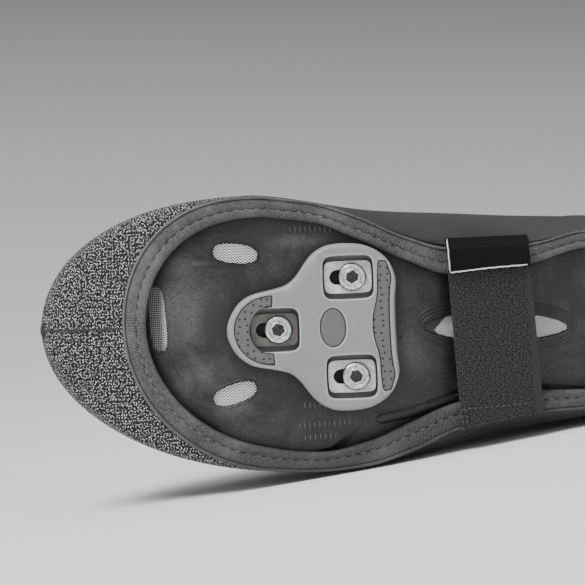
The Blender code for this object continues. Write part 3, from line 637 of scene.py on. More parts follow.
def binding_tape():
    """Finely ribbed tape, its ribs square to its length."""
    look = Look("binding_tape", 0.74, Sheen_Weight=0.1)
    run = look.axis(0, look.uv)
    across = look.axis(1, look.uv)
    rib = look.wave("SINE", run, TAPE_RIBS)
    fine = look.noise(1500, 3)
    weave = look.calc("ADD", look.times(rib, 0.22), fine)
    worn = look.noise(60, 4)
    colour = look.mix(look.span(weave, 0.28, 0.8), grey(20, 1.05), grey(110, 1.05))
    colour = look.mix(look.span(worn, 0.42, 0.7, 0.0, 0.4), colour, grey(124, 1.05))
    # Painted highlight: a lighter band on the raised fold by the seam, strongest at the toe
    toe = look.span(look.axis(0), 40 * MM, 90 * MM, 0.6, 0.05)
    edge = look.times(look.span(across, 0.04, 0.12, 1.0, 0.0), toe)
    colour = look.mix(edge, colour, grey(120, 1.05))
    # Painted shade in the seam grooves and at the stitch holes
    pucker = look.span(look.wave("COSINE", run, PUCKER_PITCH), -0.6, 0.9, 0.55, 1.0)
    holes = look.times(look.near(across, STITCH_SHARE, 0.035), pucker)
    grooves = look.calc("MAXIMUM", look.near(across, 0.0, 0.03), look.near(across, 0.14, 0.022))
    dark = look.calc("MAXIMUM", holes, grooves)
    colour = look.mix(look.times(dark, 0.9), colour, grey(8))
    # Painted shade: the side facing the floor is painted darker, as it gets less of the light
    # from above
    painted_floor_shade = look.span(look.axis(1), 24 * MM, 56 * MM, 0.0, 0.34)
    colour = look.mix(painted_floor_shade, colour, grey(24))
    # Painted shade where the roll turns under towards the sole
    inner = look.span(across, 0.93, 1.0, 0.0, 0.7)
    return look.done(look.mix(inner, colour, grey(14)), weave, 0.00022)


def strap_middle():
    """Where the strap's middle crosses the shoe's middle line, and how far it leans a metre."""
    points = np.array([tuple(p) for p in shoe_points(frame["nodes"]["strap"])])
    slope, middle = np.polyfit(points[:, 1], points[:, 0], 1)
    return middle, slope


def strap_loop():
    """Loop cloth in rows across the strap, with a smooth selvedge on its heel side."""
    look = Look("strap_loop", 0.86, Sheen_Weight=0.15)
    rows = look.scaled(1 / LOOP_PITCH[0], 1 / LOOP_PITCH[1], 0)
    bumps = look.cells(1.0, rows, 0.7, flat=True)
    loops = look.span(bumps.outputs["Distance"], 0.1, 0.62, 1.0, 0.0)
    fine = look.noise(3000, 3)
    hairy = look.calc("ADD", look.times(loops, 0.65), look.times(fine, 0.45))
    colour = look.mix(look.span(hairy, 0.3, 0.95), grey(20), grey(66))
    middle, lean = strap_middle()
    leaning = look.less(look.axis(0), look.times(look.axis(1), lean))
    heel_side = middle + STRAP_WIDTH / 2
    bare = look.span(leaning, heel_side - SELVEDGE, heel_side - SELVEDGE + SELVEDGE_FADE)
    colour = look.mix(bare, colour, look.mix(fine, grey(40), grey(54)))
    look.put("Base Color", colour)
    rough = look.times(hairy, look.less(1.0, bare))
    look.put("Normal", look.bump(rough, 0.0005))
    return look.material


def label_cloth():
    """Black, finely woven."""
    look = Look("label_cloth", 0.8)
    weave = look.noise(2600, 2)
    look.put("Specular IOR Level", 0.2)
    return look.done(look.mix(weave, grey(8), grey(26)), weave, 0.0001)


def grey_thread():
    """Sewing thread of uneven grey."""
    look = Look("grey_thread", 0.55)
    return look.done(look.mix(look.noise(1500, 1), grey(84, 1.05), grey(150, 1.05)))


# Dull rubs, painted shadows and scratches of the sole: places in mm of the shoe's frame
RUBS = (
    # x, y, reach along, reach across
    (58, -8, 17, 22),
    (62, 20, 12, 14),
    (76, 30, 16, 9),
    (56, -28, 10, 8),
    (152, 10, 12, 16),
    (106, -36, 26, 4),
    (66, -28.6, 10, 1.8),
    (51.5, -9, 1.4, 13),
    (196, 12, 16, 14),
)
SHADES = (
    (146, -24, 9, 12),
    (70, -2, 9, 18),
    (86, -36, 20, 6),
    (167, -10, 5, 15),
    (168, 15, 6, 9),
)
# Painted shadow in the gaps where the sole's edge is folded up: ends in mm of the shoe's frame,
# and half width
GAPS = (
    ((134, 36.6), (158, 33.4), 0.9),
    ((156, 33.7), (172, 29.4), 2.0),
    ((142, -33.5), (166, -21), 1.4),
)
SCRATCHES = (
    *(((48, -28), (66, -33)), ((50, -12), (62, -20)), ((50, 2), (60, 8)), ((55, 5), (66, 0))),
    *(((58, 22), (72, 30)), ((52, 12), (58, 24)), ((62, -12), (72, -16))),
    *(((112, 38), (130, 33)), ((144, 8), (152, 2))),
)
SCRATCH_WIDTH = 0.45


def sole_composite():
    """Dark moulded sole, rubbed to a dusty grey, with fine scratches, and painted shade where the
    binding, the strap and the cleat stand over it.
    """
    look = Look("sole_composite", 0.42)
    smudge = look.noise(46, 7, 0.66, distortion=0.6)
    grain = look.noise(1300, 4, 0.7)
    brushed = look.noise(1.0, 6, 0.75, look.scaled(220, 900, 220), 0.8)
    colour = look.mix(look.span(smudge, 0.38, 0.64), grey(34, 1.02), grey(63, 1.02))
    rubbed = look.most(look.blot(*place) for place in RUBS)
    rubbed = look.times(rubbed, look.span(smudge, 0.3, 0.62, 0.15, 0.75))
    colour = look.mix(rubbed, colour, grey(96, 1.02))
    colour = look.mix(look.span(brushed, 0.5, 0.74, 0.0, 0.34), colour, grey(96, 1.02))
    colour = look.mix(look.span(grain, 0.42, 0.66, 0.0, 0.6), colour, grey(20))
    # Painted shadow under the binding's edge and beside the strap
    shade = look.most(look.blot(*place) for place in SHADES)
    colour = look.mix(look.times(shade, 0.6), colour, grey(24))
    scratch = look.most(look.line(a, b, SCRATCH_WIDTH) for a, b in SCRATCHES)
    scratch = look.times(scratch, look.span(look.noise(300, 3), 0.4, 0.6))
    colour = look.mix(look.times(scratch, 0.6), colour, grey(20))
    # Painted shadow along the folded-up gaps
    gap = look.most(look.line(a, b, width) for a, b, width in GAPS)
    colour = look.mix(look.span(gap, 0.2, 0.7), colour, grey(6))
    # Painted shade: the sole is darkened where other parts stand close over it
    painted_shade = look.span(look.shelter(7 * MM), 0.45, 0.95, 0.85, 0.0)
    look.put("Base Color", look.mix(painted_shade, colour, grey(5)))
    look.put("Roughness", look.span(smudge, 0.3, 0.7, 0.38, 0.6))
    fine = look.times(grain, 0.06)
    uneven = look.calc("ADD", look.times(smudge, 0.8), fine)
    look.put("Normal", look.bump(look.less(uneven, scratch), 0.00018))
    return look.material


def heel_rubber():
    """Dull black rubber."""
    look = Look("heel_rubber", 0.7)
    return look.done(look.mix(look.noise(90, 4), grey(28), grey(44)), look.noise(1500, 2), 0.0001)


def vent_mesh():
    """Light gauze in a fine herringbone; the toe's own vent is darker and ribbed lengthways; the
    arch vent's toe end has a painted shadow.
    """
    look = Look("vent_mesh", 0.6)
    x, y = look.axis(0), look.axis(1)
    slant = look.calc("ADD", y, look.calc("PINGPONG", x, GAUZE_FOLD))
    threads = look.wave("SINE", slant, GAUZE_PITCH)
    ribs, knots = (look.wave("SINE", at, pitch) for at, pitch in zip((x, y), RIBBED_PITCH))
    front = look.span(x, *RIBBED_ENDS, 1.0, 0.0)
    light = look.mix(look.span(threads, -0.7, 0.1), grey(28), grey(250))
    dark = look.mix(look.span(look.calc("ADD", ribs, knots), -0.8, 1.2), grey(14), grey(150))
    # Painted shadow: the arch vent's toe end, by the strap's edge, is painted dark
    tip_x, tip_y = ARCH_TIP
    aside = look.calc("ABSOLUTE", look.less(y, tip_y))
    ahead = look.less(x, look.times(aside, ARCH_TIP_SLANT))
    dim = look.span(ahead, tip_x - 0.6 * MM, tip_x + 0.6 * MM, 1.0, 0.0)
    under = look.times(look.span(x, tip_x - 10 * MM, tip_x - 9 * MM), dim)
    light = look.mix(look.times(under, 0.92), light, grey(30))
    return look.done(look.mix(front, light, dark), look.span(threads, -1.0, 1.0), 0.0002)


def cleat_plastic():
    """Satin grey plastic, with a painted highlight along its edges and painted shade where parts
    stand close.
    """
    look = Look("cleat_plastic", 0.42)
    soft = look.noise(700, 3)
    face = look.mix(soft, grey(138, 1.05), grey(152, 1.05))
    dust = look.span(look.noise(120, 5), 0.55, 0.8, 0.0, 0.3)
    face = look.mix(dust, face, grey(118, 1.04))
    # Painted highlight along the edges
    rim, rounded = look.rims(1.5 * MM, 0.004, 0.07)
    face = look.mix(look.times(rim, 0.75), face, grey(226, 1.04))
    # Painted shade where other parts stand close
    painted_shade = look.span(look.shelter(4 * MM), 0.3, 0.8, 0.8, 0.0)
    return look.done(look.mix(painted_shade, face, grey(26)), soft, 0.00005, rounded)


def cleat_grip():
    """Softer grey pad with rows of small pits, painted dark as shade; the oval button has none.
    Its edges are painted darker as shade.
    """
    look = Look("cleat_grip", 0.7)
    low, high = (corner / MM for corner in extent("cleat_button"))
    rows = look.scaled(1 / PIT_PITCH[0], 1 / PIT_PITCH[1], 0)
    pits = look.cells(1.0, rows, 0.35, flat=True)
    # Painted shade in the small pits, which are only bumped
    dark = look.span(pits.outputs["Distance"], 0.1, 0.17, 1.0, 0.0)
    button = look.blot((low[0] + high[0]) / 2, (low[1] + high[1]) / 2, 12, 14)
    dark = look.times(dark, look.span(button, 0.0, 0.1, 1.0, 0.0))
    face = look.mix(look.noise(1100, 3), grey(88, 1.06), grey(112, 1.06))
    face = look.mix(button, face, grey(108, 1.06))
    # Painted shade along the pad's edges
    rim, rounded = look.rims(0.7 * MM)
    face = look.mix(look.times(rim, 0.8), face, grey(44))
    return look.done(look.mix(dark, face, grey(24)), look.less(1.0, dark), 0.0004, rounded)


def washer_metal(name, value, tint, metallic):
    """Stamped washer, unevenly worn, with a painted highlight along its edges and painted shade
    where parts stand close.
    """
    look = Look(name, 0.4, metallic)
    worn = look.noise(500, 4)
    dull, bright = grey(value * 0.84, tint), grey(value, tint)
    face = look.mix(look.span(worn, 0.35, 0.65), dull, bright)
    # Painted highlight along the edges
    rim, rounded = look.rims(0.9 * MM)
    face = look.mix(rim, face, grey(min(255, value * 1.3), tint))
    # Painted shade where other parts stand close
    painted_shade = look.span(look.shelter(1.6 * MM), 0.25, 0.75, 0.8, 0.0)
    look.put("Base Color", look.mix(painted_shade, face, grey(26)))
    look.put("Roughness", look.span(worn, 0.3, 0.7, 0.3, 0.5))
    look.put("Normal", look.bump(worn, 0.00004, rounded))
    return look.material


def screw_steel():
    """Bright steel with patchy dirt; what is set back from the head's face, its socket, ring
    groove and sides, is painted dark as shade.
    """
    look = Look("screw_steel", 0.26, 0.85)
    dirt = look.noise(760, 4, 0.65)
    face = look.mix(look.span(dirt, 0.5, 0.68), grey(222), grey(120))
    top = float(extent("screw_1")[0][2])
    # Painted shade: all that is set back from the head's face is darkened
    sunk = look.span(look.axis(2), top + 0.12 * MM, top + 0.7 * MM, 0.0, 0.92)
    look.put("Base Color", look.mix(sunk, face, grey(22)))
    look.put("Roughness", look.span(dirt, 0.4, 0.7, 0.2, 0.55))
    look.put("Normal", look.bump(dirt, 0.00012, look.rims(0.4 * MM)[1]))
    return look.material


MADE = {
    look.__name__: look()
    for look in (neoprene, toe_fleck, binding_tape, strap_loop, label_cloth, sole_composite)
    + (heel_rubber, vent_mesh, cleat_plastic, cleat_grip, screw_steel)
}
MADE["insole_foam"] = plain("insole_foam", 50, 0.9)
MADE["washer_front"] = washer_metal("washer_front", 122, 0.84, 0.2)
MADE["washer_rear"] = washer_metal("washer_rear", 255, 0.98, 0.0)
WHITE = plain("white_thread", 232, 0.6)
THREAD_GREY = grey_thread()
THREAD_DARK = plain("dark_thread", 82, 0.6)
MARK = plain("sole_mark", 104, 0.5)


def dress_nodes():
    """Gives each CAD node the finish of its slot."""
    for part in frame["record"]["subparts"]:
        node = frame["nodes"][part["node"]]
        node.data.materials.clear()
        node.data.materials.append(MADE[part["material_slot"]])
        node.data.shade_smooth()
        node.data.set_sharp_from_angle(angle=CAD_SHARP)


dress_nodes()


# Finer skins of the soft parts

# The line inside: where it turns up into the leg, over what length, and how it runs there
LEG_FROM = (150 * MM, 70 * MM)
LEG_EASE = (60 * MM, 50 * MM)
CORE_X = 246 * MM
CORE_Z = 34 * MM


def from_core(points):
    """The way out of the overshoe at points: away from a line inside the foot and the leg."""
    x, y, z = points.T
    leg = smooth((x - LEG_FROM[0]) / LEG_EASE[0]) * smooth((z - LEG_FROM[1]) / LEG_EASE[1])
    core_x = np.where(leg > 0, x + (CORE_X - x) * leg, x)
    way = points - np.stack([core_x, 0 * y, CORE_Z + (z - CORE_Z) * leg], 1)
    return way / np.maximum(np.linalg.norm(way, axis=1), 1e-6)[:, None]


def fold_route(a, b):
    """Points of a fold on the wall's outer skin between its two ends."""
    route = []
    for t in np.linspace(0, 1, FOLD_POINTS):
        place = (np.array(a) + (np.array(b) - np.array(a)) * t) * MM
        hit, _ = inwards("upper", place, from_core(place[None])[0])
        if hit is not None:
            route.append(tuple(hit))
    return np.array(route)


def fold_push(points):
    """How far each point of the wall is pushed outwards by the soft folds, in metres."""
    push = np.zeros(len(points))
    for a, b, width, depth in FOLDS:
        gap = np.full(len(points), RAY)
        for place in fold_route(a, b):
            gap = np.minimum(gap, np.linalg.norm(points - place, axis=1))
        push -= depth * MM * np.exp(-((gap / (width * MM)) ** 2))
    return push


def fine_copy(name, piece, slot, folded=False):
    """A CAD node's surface, made finer, with its sharp edges kept, as a piece in its place."""
    node = frame["nodes"][name]
    bm = bmesh.new()
    bm.from_mesh(node.data)
    bmesh.ops.transform(bm, matrix=TO_SHOE @ node.matrix_world, verts=bm.verts)
    bmesh.ops.remove_doubles(bm, verts=bm.verts, dist=0.02 * MM)
    bmesh.ops.join_triangles(
        bm,
        faces=bm.faces[:],
        angle_face_threshold=math.radians(30),
        angle_shape_threshold=math.radians(70),
    )
    crease = bm.edges.layers.float.new("crease_edge")
    for edge in bm.edges:
        if len(edge.link_faces) == 2 and edge.calc_face_angle(0) > CREASED:
            edge[crease] = 1.0
    coarse = bpy.data.meshes.new(piece + "_coarse")
    bm.to_mesh(coarse)
    bm.free()
    helper = linked(bpy.data.objects.new(piece + "_coarse", coarse))
    finer = helper.modifiers.new("finer", "SUBSURF")
    finer.levels = finer.render_levels = FINER
    graph = bpy.context.evaluated_depsgraph_get()
    mesh = bpy.data.meshes.new_from_object(helper.evaluated_get(graph))
    bpy.data.objects.remove(helper)
    mesh.name = piece
    if folded:
        points = np.empty(len(mesh.vertices) * 3, np.float32)
        mesh.vertices.foreach_get("co", points)
        points = points.reshape(-1, 3).astype(float)
        points += from_core(points) * fold_push(points)[:, None]
        mesh.vertices.foreach_set("co", points.astype(np.float32).ravel())
        mesh.update()
    for layer in list(mesh.attributes):
        if layer.name in ("crease_edge", "sharp_edge"):
            mesh.attributes.remove(layer)
    mesh.materials.clear()
    return add_piece(piece, mesh, slot, name)


# The tape's section from the seam under its raised fold, its stitched groove and its roll, and
# back inside: share of its width, height in tape thicknesses, height in roll thicknesses.
TAPE_SECTION = (
    *((0, 0.25, 0), (0.03, -0.12, 0), (0.075, -0.34, 0), (0.115, -0.14, 0)),
    *((0.138, 0.26, 0), (0.165, 0.02, 0), (0.25, -0.16, 0), (0.36, -0.22, 0)),
    *((0.48, -0.14, 0), (0.545, 0.08, 0), (0.585, 0.4, 0), (0.625, 0.04, 0)),
    *((0.7, -0.26, 0), (0.8, -0.36, 0), (0.9, -0.2, 0), (0.97, 0, 0.12)),
    *((1, 0, 0.5), (0.96, 0, 0.86), (0.82, 0, 0.98), (0.64, 1.15, 0)),
    *((0.4, 1, 0), (0.05, 1, 0), (0, 0.8, 0)),
)
UNDERSIDE_ROWS = 15
PUCKER_REACH = 0.14


def tape_rings(n):
    """The tape's rings of n points, puckered between the stitches on its underside."""
    middle = binding_loop(STITCH_SHARE, 0.0, n)
    run = run_along(np.vstack([middle, middle[:1]]))
    wave = 0.5 - 0.5 * np.cos(2 * math.pi * run[:-1] / PUCKER_PITCH)
    rings = []
    for k, (share, tapes, rolls) in enumerate(TAPE_SECTION):
        ring = binding_loop(share, tapes * BINDING_TAPE + rolls * BINDING_ROLL, n)
        if k < UNDERSIDE_ROWS:
            near = math.exp(-(((share - STITCH_SHARE) / PUCKER_REACH) ** 2))
            ring[:, 2] -= PUCKER_DEPTH * near * wave
        rings.append(ring)
    return rings, run


def fine_binding():
    """Edge tape round the sole window, with its length and width as texture coordinates."""
    n = TAPE_AROUND
    rings, run = tape_rings(n)
    faces = tube_faces(len(TAPE_SECTION), n, True)
    mesh = mesh_from("binding_tape", np.concatenate(rings), faces)
    layer = mesh.uv_layers.new(name="tape")
    for face in mesh.polygons:
        k = face.index % n
        for loop in face.loop_indices:
            vertex = mesh.loops[loop].vertex_index
            column = vertex % n
            at = run[n] if k == n - 1 and column == 0 else run[column]
            layer.data[loop].uv = (at, TAPE_SECTION[vertex // n][0])
    turn_outwards(mesh)
    return add_piece("binding_tape", mesh, "binding_tape", "binding")


# Screws: radius and height from the underside of the head, in mm; the last three are six-sided
SCREW_PROFILE = (
    *((0, -6), (2.4, -6), (2.4, 0), (5.4, 0), (5.7, 0.4), (5.7, 1.5)),
    *((5.3, 2.15), (4.7, 2.4), (4.1, 2.4), (3.9, 2.1), (3.45, 2.1), (3.25, 2.4)),
    *((2.75, 2.35), (2.45, 0.7), (0, 0.6)),
)
SOCKET_FROM = 12
SCREW_AROUND = 48
SCREW_TURN = 0.3  # each screw stands turned a little more than the last


def fine_screw(k):
    """A button-head screw with a ring and a six-sided socket, in place of a CAD screw."""
    low, high = extent(f"screw_{k}")
    centre = (low + high) / 2
    head, shank = max(h for _, h in SCREW_PROFILE), SCREW_PROFILE[0][1]
    shank = -min((high[2] - low[2]) / MM - head, -shank)
    half = math.pi / 6
    verts = []
    for row, (radius, height) in enumerate(SCREW_PROFILE):
        z = low[2] + (head - max(height, shank)) * MM
        for j in range(SCREW_AROUND):
            a = 2 * math.pi * j / SCREW_AROUND
            side = a % (2 * half) - half
            r = radius * MM * (math.cos(half) / math.cos(side) if row >= SOCKET_FROM else 1.0)
            a += SCREW_TURN * k
            verts.append((centre[0] + r * math.cos(a), centre[1] + r * math.sin(a), z))
    faces = tube_faces(len(SCREW_PROFILE), SCREW_AROUND, False)
    mesh = mesh_from(f"screw_{k}_steel", verts, faces)
    turn_outwards(mesh, WELD)
    add_piece(f"screw_{k}_steel", mesh, "screw_steel", f"screw_{k}")


for k in (1, 2, 3):
    fine_screw(k)
for name, slot in (
    ("cleat", "cleat_plastic"),
    ("cleat_button", "cleat_grip"),
    ("cleat_grip_front", "cleat_grip"),
    ("cleat_grip_rear", "cleat_grip"),
    ("washer_1", "washer_front"),
    ("washer_2", "washer_rear"),
    ("washer_3", "washer_rear"),
):
    fine_copy(name, name + "_fine", slot)
# What is sewn on them is laid on these finer skins, not on the CAD's
TREES["upper"] = tree_of(fine_copy("upper", "upper_cloth", "neoprene", folded=True))
TREES["toe_cap"] = tree_of(fine_copy("toe_cap", "toe_cap_cloth", "toe_fleck"))
TREES["binding"] = tree_of(fine_binding())


# Seams and stitches

TAPE_LIFT = 0.12 * MM
TAPE_PLACES = 900
TOE_MIDDLE = (34 * MM, -2.6 * MM, 32 * MM)
TOE_LIFT = 0.02 * MM
NUB_ANGLE = 84
NUB_PLACES = (-3.2, -2.4, -1.2, 0, 1.2, 2.4, 3.2)
LEG_MIDDLE = 248 * MM
HEM_ROWS = (0.935, 0.948)  # of the shaft's height
HEM_DROP = 6 * MM
HEM_PLACES = 160
BACK_HEIGHTS = np.linspace(20 * MM, 196 * MM, 60)
BACK_ROWS = (-2.6 * MM, 2.6 * MM)


def on_tape(share):
    """Points and normals round the tape's underside at a share of its width."""
    ring = even(binding_loop(share, 0.0, TAPE_PLACES), TAPE_PLACES)
    return met(below("binding", x, y, TAPE_LIFT) for x, y, _ in ring)


def toe_line(degrees):
    """Points over the toe on its middle, by the angle from straight down to the front and up."""
    ways = [(-math.sin(a), 0.0, -math.cos(a)) for a in map(math.radians, degrees)]
    return met(inwards("toe_cap", TOE_MIDDLE, way, TOE_LIFT) for way in ways)


def hem_line(share):
    """Points round the leg at a share of its height, lower towards the heel."""
    found = []
    for k in range(HEM_PLACES):
        a = 2 * math.pi * k / HEM_PLACES
        height = SHAFT_HEIGHT * share - HEM_DROP * (0.5 + 0.5 * math.cos(a))
        way = (math.cos(a), math.sin(a), 0)
        found.append(inwards("upper", (LEG_MIDDLE, 0, height), way, ROW_LIFT))
    return met(found) + met(found)[:1]


def back_line(y, lift=0.0):
    """Points up the back of the heel."""
    return met(inwards("upper", (LEG_MIDDLE, y, z), (1, 0, 0), lift) for z in BACK_HEIGHTS)


def strip_along(points, width, height, around=8, closed=False):
    """A rounded strip along a path of (point, normal)."""
    return swept([p for p, _ in points], [u for _, u in points], width, height, around, closed)


strip_piece("tape_stitches", stitches(on_tape(STITCH_SHARE)), "binding_tape", THREAD_GREY)
toe_seam = strip_along(toe_line(range(-38, 92, 3)), 0.5 * MM, 0.32 * MM)
strip_piece("toe_seam", [toe_seam], "toe_fleck", MADE["neoprene"])
tip, tip_up = toe_line([NUB_ANGLE])[0]
nub_path = [tip + Vector((0, s * MM, 0)) for s in NUB_PLACES]
toe_nub = swept(nub_path, [tip_up] * len(nub_path), 1.5 * MM, 1.3 * MM, 10)
strip_piece("toe_nub", [toe_nub], "toe_fleck", MADE["neoprene"])
strip_piece("back_seam", [strip_along(back_line(0.0), 0.8 * MM, 0.4 * MM)], "neoprene")
sewn = [stitches(back_line(y, ROW_LIFT)) for y in BACK_ROWS]
sewn += [stitches(hem_line(share)) for share in HEM_ROWS]
strip_piece("upper_stitches", sum(sewn, []), "neoprene", THREAD_GREY)


# Sole: vent rims and plain marks


def rim_of(vent, grow, width, height, n=64):
    """A closed ridge on the sole round a vent, its outline moved outwards by a distance."""
    points = [p.to_2d() for p in shoe_points(frame["nodes"][vent])]
    corners = [points[k] for k in convex_hull_2d(points)]
    loop = even([tuple(c) for c in corners], n)
    for _ in range(3):
        loop = (np.roll(loop, 1, axis=0) + 2 * loop + np.roll(loop, -1, axis=0)) / 4
    way = np.roll(loop, -1, axis=0) - np.roll(loop, 1, axis=0)
    out = np.stack([way[:, 1], -way[:, 0]], 1) / np.linalg.norm(way, axis=1)[:, None]
    if np.sum(out * (loop - loop.mean(axis=0))) < 0:
        out = -out
    points = met(below("sole_plate", *(p + o * grow)) for p, o in zip(loop, out))
    return strip_along(points, width, height, 6, True)


for vent in ("vent_toe_inner", "vent_toe_outer", "vent_front"):
    rim = rim_of(vent, 0.75 * MM, 0.4 * MM, 0.28 * MM)
    strip_piece(vent + "_rim", [rim], "sole_composite")
ripples = [rim_of("vent_arch", g * MM, 0.45 * MM, 0.26 * MM) for g in (1.9, 3.5, 4.9)]
strip_piece("vent_arch_rims", ripples, "sole_composite")

# Rows of plain marks on the sole: first place, last place, count, length of each, in mm
MARK_ROWS = (
    ((103.9, -41.2), (122.4, -40.4), 10, 3.0),
    ((106.9, 31.9), (115.2, 32.4), 5, 3.2),
    ((104.5, 40.4), (125.1, 39.6), 11, 2.6),
    ((106.5, 45.4), (119.1, 45.0), 7, 2.6),
)


def sole_marks():
    """Short raised lines across the sole."""
    parts = []
    for first, last, count, length in MARK_ROWS:
        for k in range(count):
            t = k / (count - 1)
            x, y = (first[j] + (last[j] - first[j]) * t for j in (0, 1))
            tall = length * (1.0 if k % 3 else 0.7)
            places = [(y + s * tall) * MM for s in (-0.5, -0.25, 0, 0.25, 0.5)]
            found = met(below("sole_plate", x * MM, at) for at in places)
            if len(found) == len(places):
                parts.append(strip_along(found, 0.22 * MM, 0.12 * MM, 6))
    return parts


strip_piece("sole_marks", sole_marks(), "sole_composite", MARK)


def sole_fold(places, width, height):
    """A soft ridge of the sole through places in mm."""
    places = np.array(places, float) * MM
    run = run_along(places)
    at = np.linspace(0, run[-1], 40)
    x, y = (np.interp(at, run, places[:, k]) for k in (0, 1))
    points = met(below("sole_plate", *place) for place in zip(x, y))
    return strip_along(points, width * MM, height * MM, 12)


folds = [
    sole_fold(((136, 39.4), (150, 37.2), (162, 34.6), (176, 31.0)), 2.2, 0.8),
    sole_fold(((134, -40.0), (146, -34.5), (156, -28.0), (166, -23.5)), 1.6, 0.5),
]
strip_piece("sole_folds", folds, "sole_composite")


# Strap and label

LABEL_STEP = 0.2 * MM  # how finely the label's edges are sought
LABEL_PLACES = (60, 24)  # along its outer edge and its toe side
LABEL_LIFT = 0.02 * MM
FACES_DOWN = -0.3  # a normal below this faces the viewer
STRAP_LIFT = 0.05 * MM
STRAP_STITCHES = {"pitch": 2.4 * MM, "length": 1.7 * MM}
STRAP_ROWS = (1.4 * MM, 3.0 * MM)  # in from the toe side
STRAP_END = (36 * MM, 45 * MM)
STRAP_HEEL_INSET = 3.4 * MM


def cloth_line(name, a, b, lift, n=24):
    """Points and normals on a node's underside between two places."""
    a, b = np.array(a), np.array(b)
    return met(below(name, *(a + (b - a) * t), lift) for t in np.linspace(0, 1, n))


def strap_edge(y, side):
    """Where the strap's toe side (-1) or heel side (1) lies at a place across the shoe."""
    middle, lean = strap_middle()
    return middle + lean * y + side * STRAP_WIDTH / 2


def label_place(places, inset):
    """The first of several places where the label faces down, moved inwards, or None."""
    for x, y in places:
        p, u = below("label", x, y)
        if p is not None and u.z < FACES_DOWN:
            found = below("label", x + inset[0], y + inset[1], LABEL_LIFT)
            return found if found[0] is not None and found[1].z < FACES_DOWN else None
    return None


def label_lines():
    """The label's two white edge lines; its edges aren't quite square, so each is sought."""
    (x0, y0, _), (x1, y1, _) = extent("label")
    outer, side = [], []
    for x in np.linspace(x0, x1, LABEL_PLACES[0]):
        places = ((x, y) for y in np.arange(y1, y0, -LABEL_STEP))
        outer.append(label_place(places, (0, -LABEL_INSET)))
    outer = [found for found in outer if found][1:-1]
    for s in np.linspace(0.02, 0.98, LABEL_PLACES[1]):
        y = y0 + (y1 - y0) * s
        places = ((x, y) for x in np.arange(x0, x1, LABEL_STEP))
        side.append(label_place(places, (LABEL_INSET, 0)))
    side = [found for found in side if found and found[0].y < outer[0][0].y + LABEL_INSET / 2]
    return [strip_along(line, LABEL_LINE, 0.12 * MM, 6) for line in (outer, side)]


def strap_rows():
    """Stitches on the strap's sewn lower end: two rows across its edge and one along it."""
    low, high = STRAP_END
    toe = strap_edge(40 * MM, -1)
    ends = [((toe + off - 0.3 * MM, low), (toe + off + 0.3 * MM, high)) for off in STRAP_ROWS]
    left, right = strap_edge(low, -1) + STRAP_ROWS[0], strap_edge(low, 1) - STRAP_HEEL_INSET
    ends.append(((left, low + 0.3 * MM), (right, low - 0.7 * MM)))
    rows = [stitches(cloth_line("strap", a, b, STRAP_LIFT), **STRAP_STITCHES) for a, b in ends]
    return sum(rows, [])


strip_piece("label_lines", label_lines(), "label_cloth", WHITE)
strip_piece("strap_stitches", strap_rows(), "strap_loop", THREAD_DARK)


# Stage, lights and camera

# How far above and below the middle of the picture the backdrop's greys start and end; the darker
# grey towards the top is painted shade
GRADIENT_LOW = -0.055
GRADIENT_HIGH = 0.118
STAGE_LOW, STAGE_HIGH = grey(247), grey(138)
FAR_GLOW = 0.38
GLOW_FROM, GLOW_TO = 0.15, 1.6
FLOOR_NEAR, FLOOR_FAR = -3.4, 1.8
FLOOR_SIDES = (-4.0, 4.0)
CURVE = 1.2
CURVE_STEPS = 16
WALL_TOP = 3.5
ROOM = (0.82, 0.84, 0.86, 1)
ROOM_STRENGTH = 0.45
LIGHTS = (
    # name, place, what it points at, size, power
    ("key", (-0.5, -0.62, 1.45), (0.0, 0.0, 0.05), 0.8, 27),
    ("front", (0.3, -1.8, 0.6), (0, 0, 0.05), 1.6, 5.5),
    ("top", (0.0, -0.1, 1.7), (0, 0.1, 0), 1.8, 7),
)


def picture_ways():
    """The picture's right, up and back, in the world."""
    x, y, _ = (Vector(SHOE.col[k][:3]) for k in range(3))
    turn = math.radians(TURNED)
    right = x * math.cos(turn) + y * math.sin(turn)
    up = x * math.sin(turn) - y * math.cos(turn)
    back = right.cross(up)
    tilt = math.radians(RAISED)
    cos, sin = math.cos(tilt), math.sin(tilt)
    return right, up * cos - back * sin, back * cos + up * sin


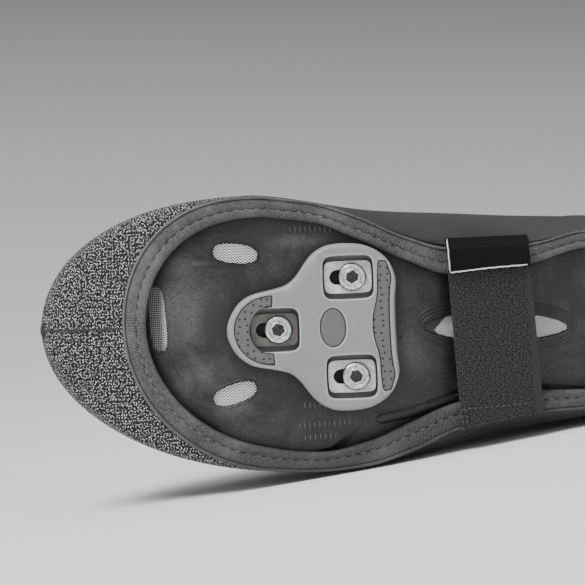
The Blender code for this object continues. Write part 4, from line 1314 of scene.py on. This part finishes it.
def sweep():
    """Floor that curves up into a backdrop behind the shoe, with painted shade that darkens it
    towards the picture's top.
    """
    profile = [(FLOOR_NEAR, 0.0), (FLOOR_FAR, 0.0)]
    for k in range(1, CURVE_STEPS + 1):
        a = math.pi / 2 * k / CURVE_STEPS
        profile.append((FLOOR_FAR + CURVE * math.sin(a), CURVE * (1 - math.cos(a))))
    profile.append((FLOOR_FAR + CURVE, WALL_TOP))
    points = [(x, y, z) for x in FLOOR_SIDES for y, z in profile]
    n = len(profile)
    mesh = mesh_from("sweep", points, [(k, k + 1, n + k + 1, n + k) for k in range(n - 1)])
    mesh.shade_smooth()
    floor = linked(bpy.data.objects.new("sweep", mesh))
    look = Look("sweep", 0.9)
    _, up, back = picture_ways()
    eye = SHOE @ Vector(AIM) + back * DISTANCE
    position = look.add("ShaderNodeNewGeometry").outputs["Position"]
    way = look.vector("SUBTRACT", position, tuple(eye))
    high = look.dot(way, tuple(up))
    off = look.times(look.dot(way, tuple(back)), -1 / DISTANCE)
    rise = look.calc("DIVIDE", high, off)
    shade = look.add("ShaderNodeMapRange")
    for k, item in enumerate((rise, GRADIENT_LOW, GRADIENT_HIGH, 0.0, 1.0)):
        look.set(shade.inputs[k], item)
    colour = look.mix(shade.outputs[0], STAGE_LOW, STAGE_HIGH)
    look.put("Base Color", colour)
    # The far end gets less light, so it glows a little of itself
    glow = look.span(look.axis(1, position), GLOW_FROM, GLOW_TO, 0.0, FAR_GLOW)
    look.put("Emission Color", colour)
    look.put("Emission Strength", glow)
    floor.data.materials.append(look.material)


def area_light(name, place, aim, size, power):
    """A square light that points at a place."""
    light = bpy.data.lights.new(name, "AREA")
    light.shape = "RECTANGLE"
    light.size = light.size_y = size
    light.energy = power
    obj = linked(bpy.data.objects.new(name, light))
    obj.location = place
    obj.rotation_euler = (Vector(aim) - Vector(place)).to_track_quat("-Z", "Y").to_euler()


def make_camera():
    """Square to the sole, rolled so that the shoe's length lies as in the picture."""
    right, up, back = picture_ways()
    camera = bpy.data.cameras.new("camera")
    camera.sensor_fit = "HORIZONTAL"
    camera.angle = 2 * math.atan(ACROSS / 2 / DISTANCE)
    obj = linked(bpy.data.objects.new("camera", camera))
    place = SHOE @ Vector(AIM) + back * DISTANCE
    obj.matrix_world = Matrix.Translation(place) @ Matrix((right, up, back)).transposed().to_4x4()
    bpy.context.scene.camera = obj


def make_world():
    """Soft grey light from all sides."""
    world = bpy.data.worlds.new("room")
    world.use_nodes = True
    background = world.node_tree.nodes["Background"]
    background.inputs["Color"].default_value = ROOM
    background.inputs["Strength"].default_value = ROOM_STRENGTH
    bpy.context.scene.world = world


sweep()
make_world()
for row in LIGHTS:
    area_light(*row)
make_camera()
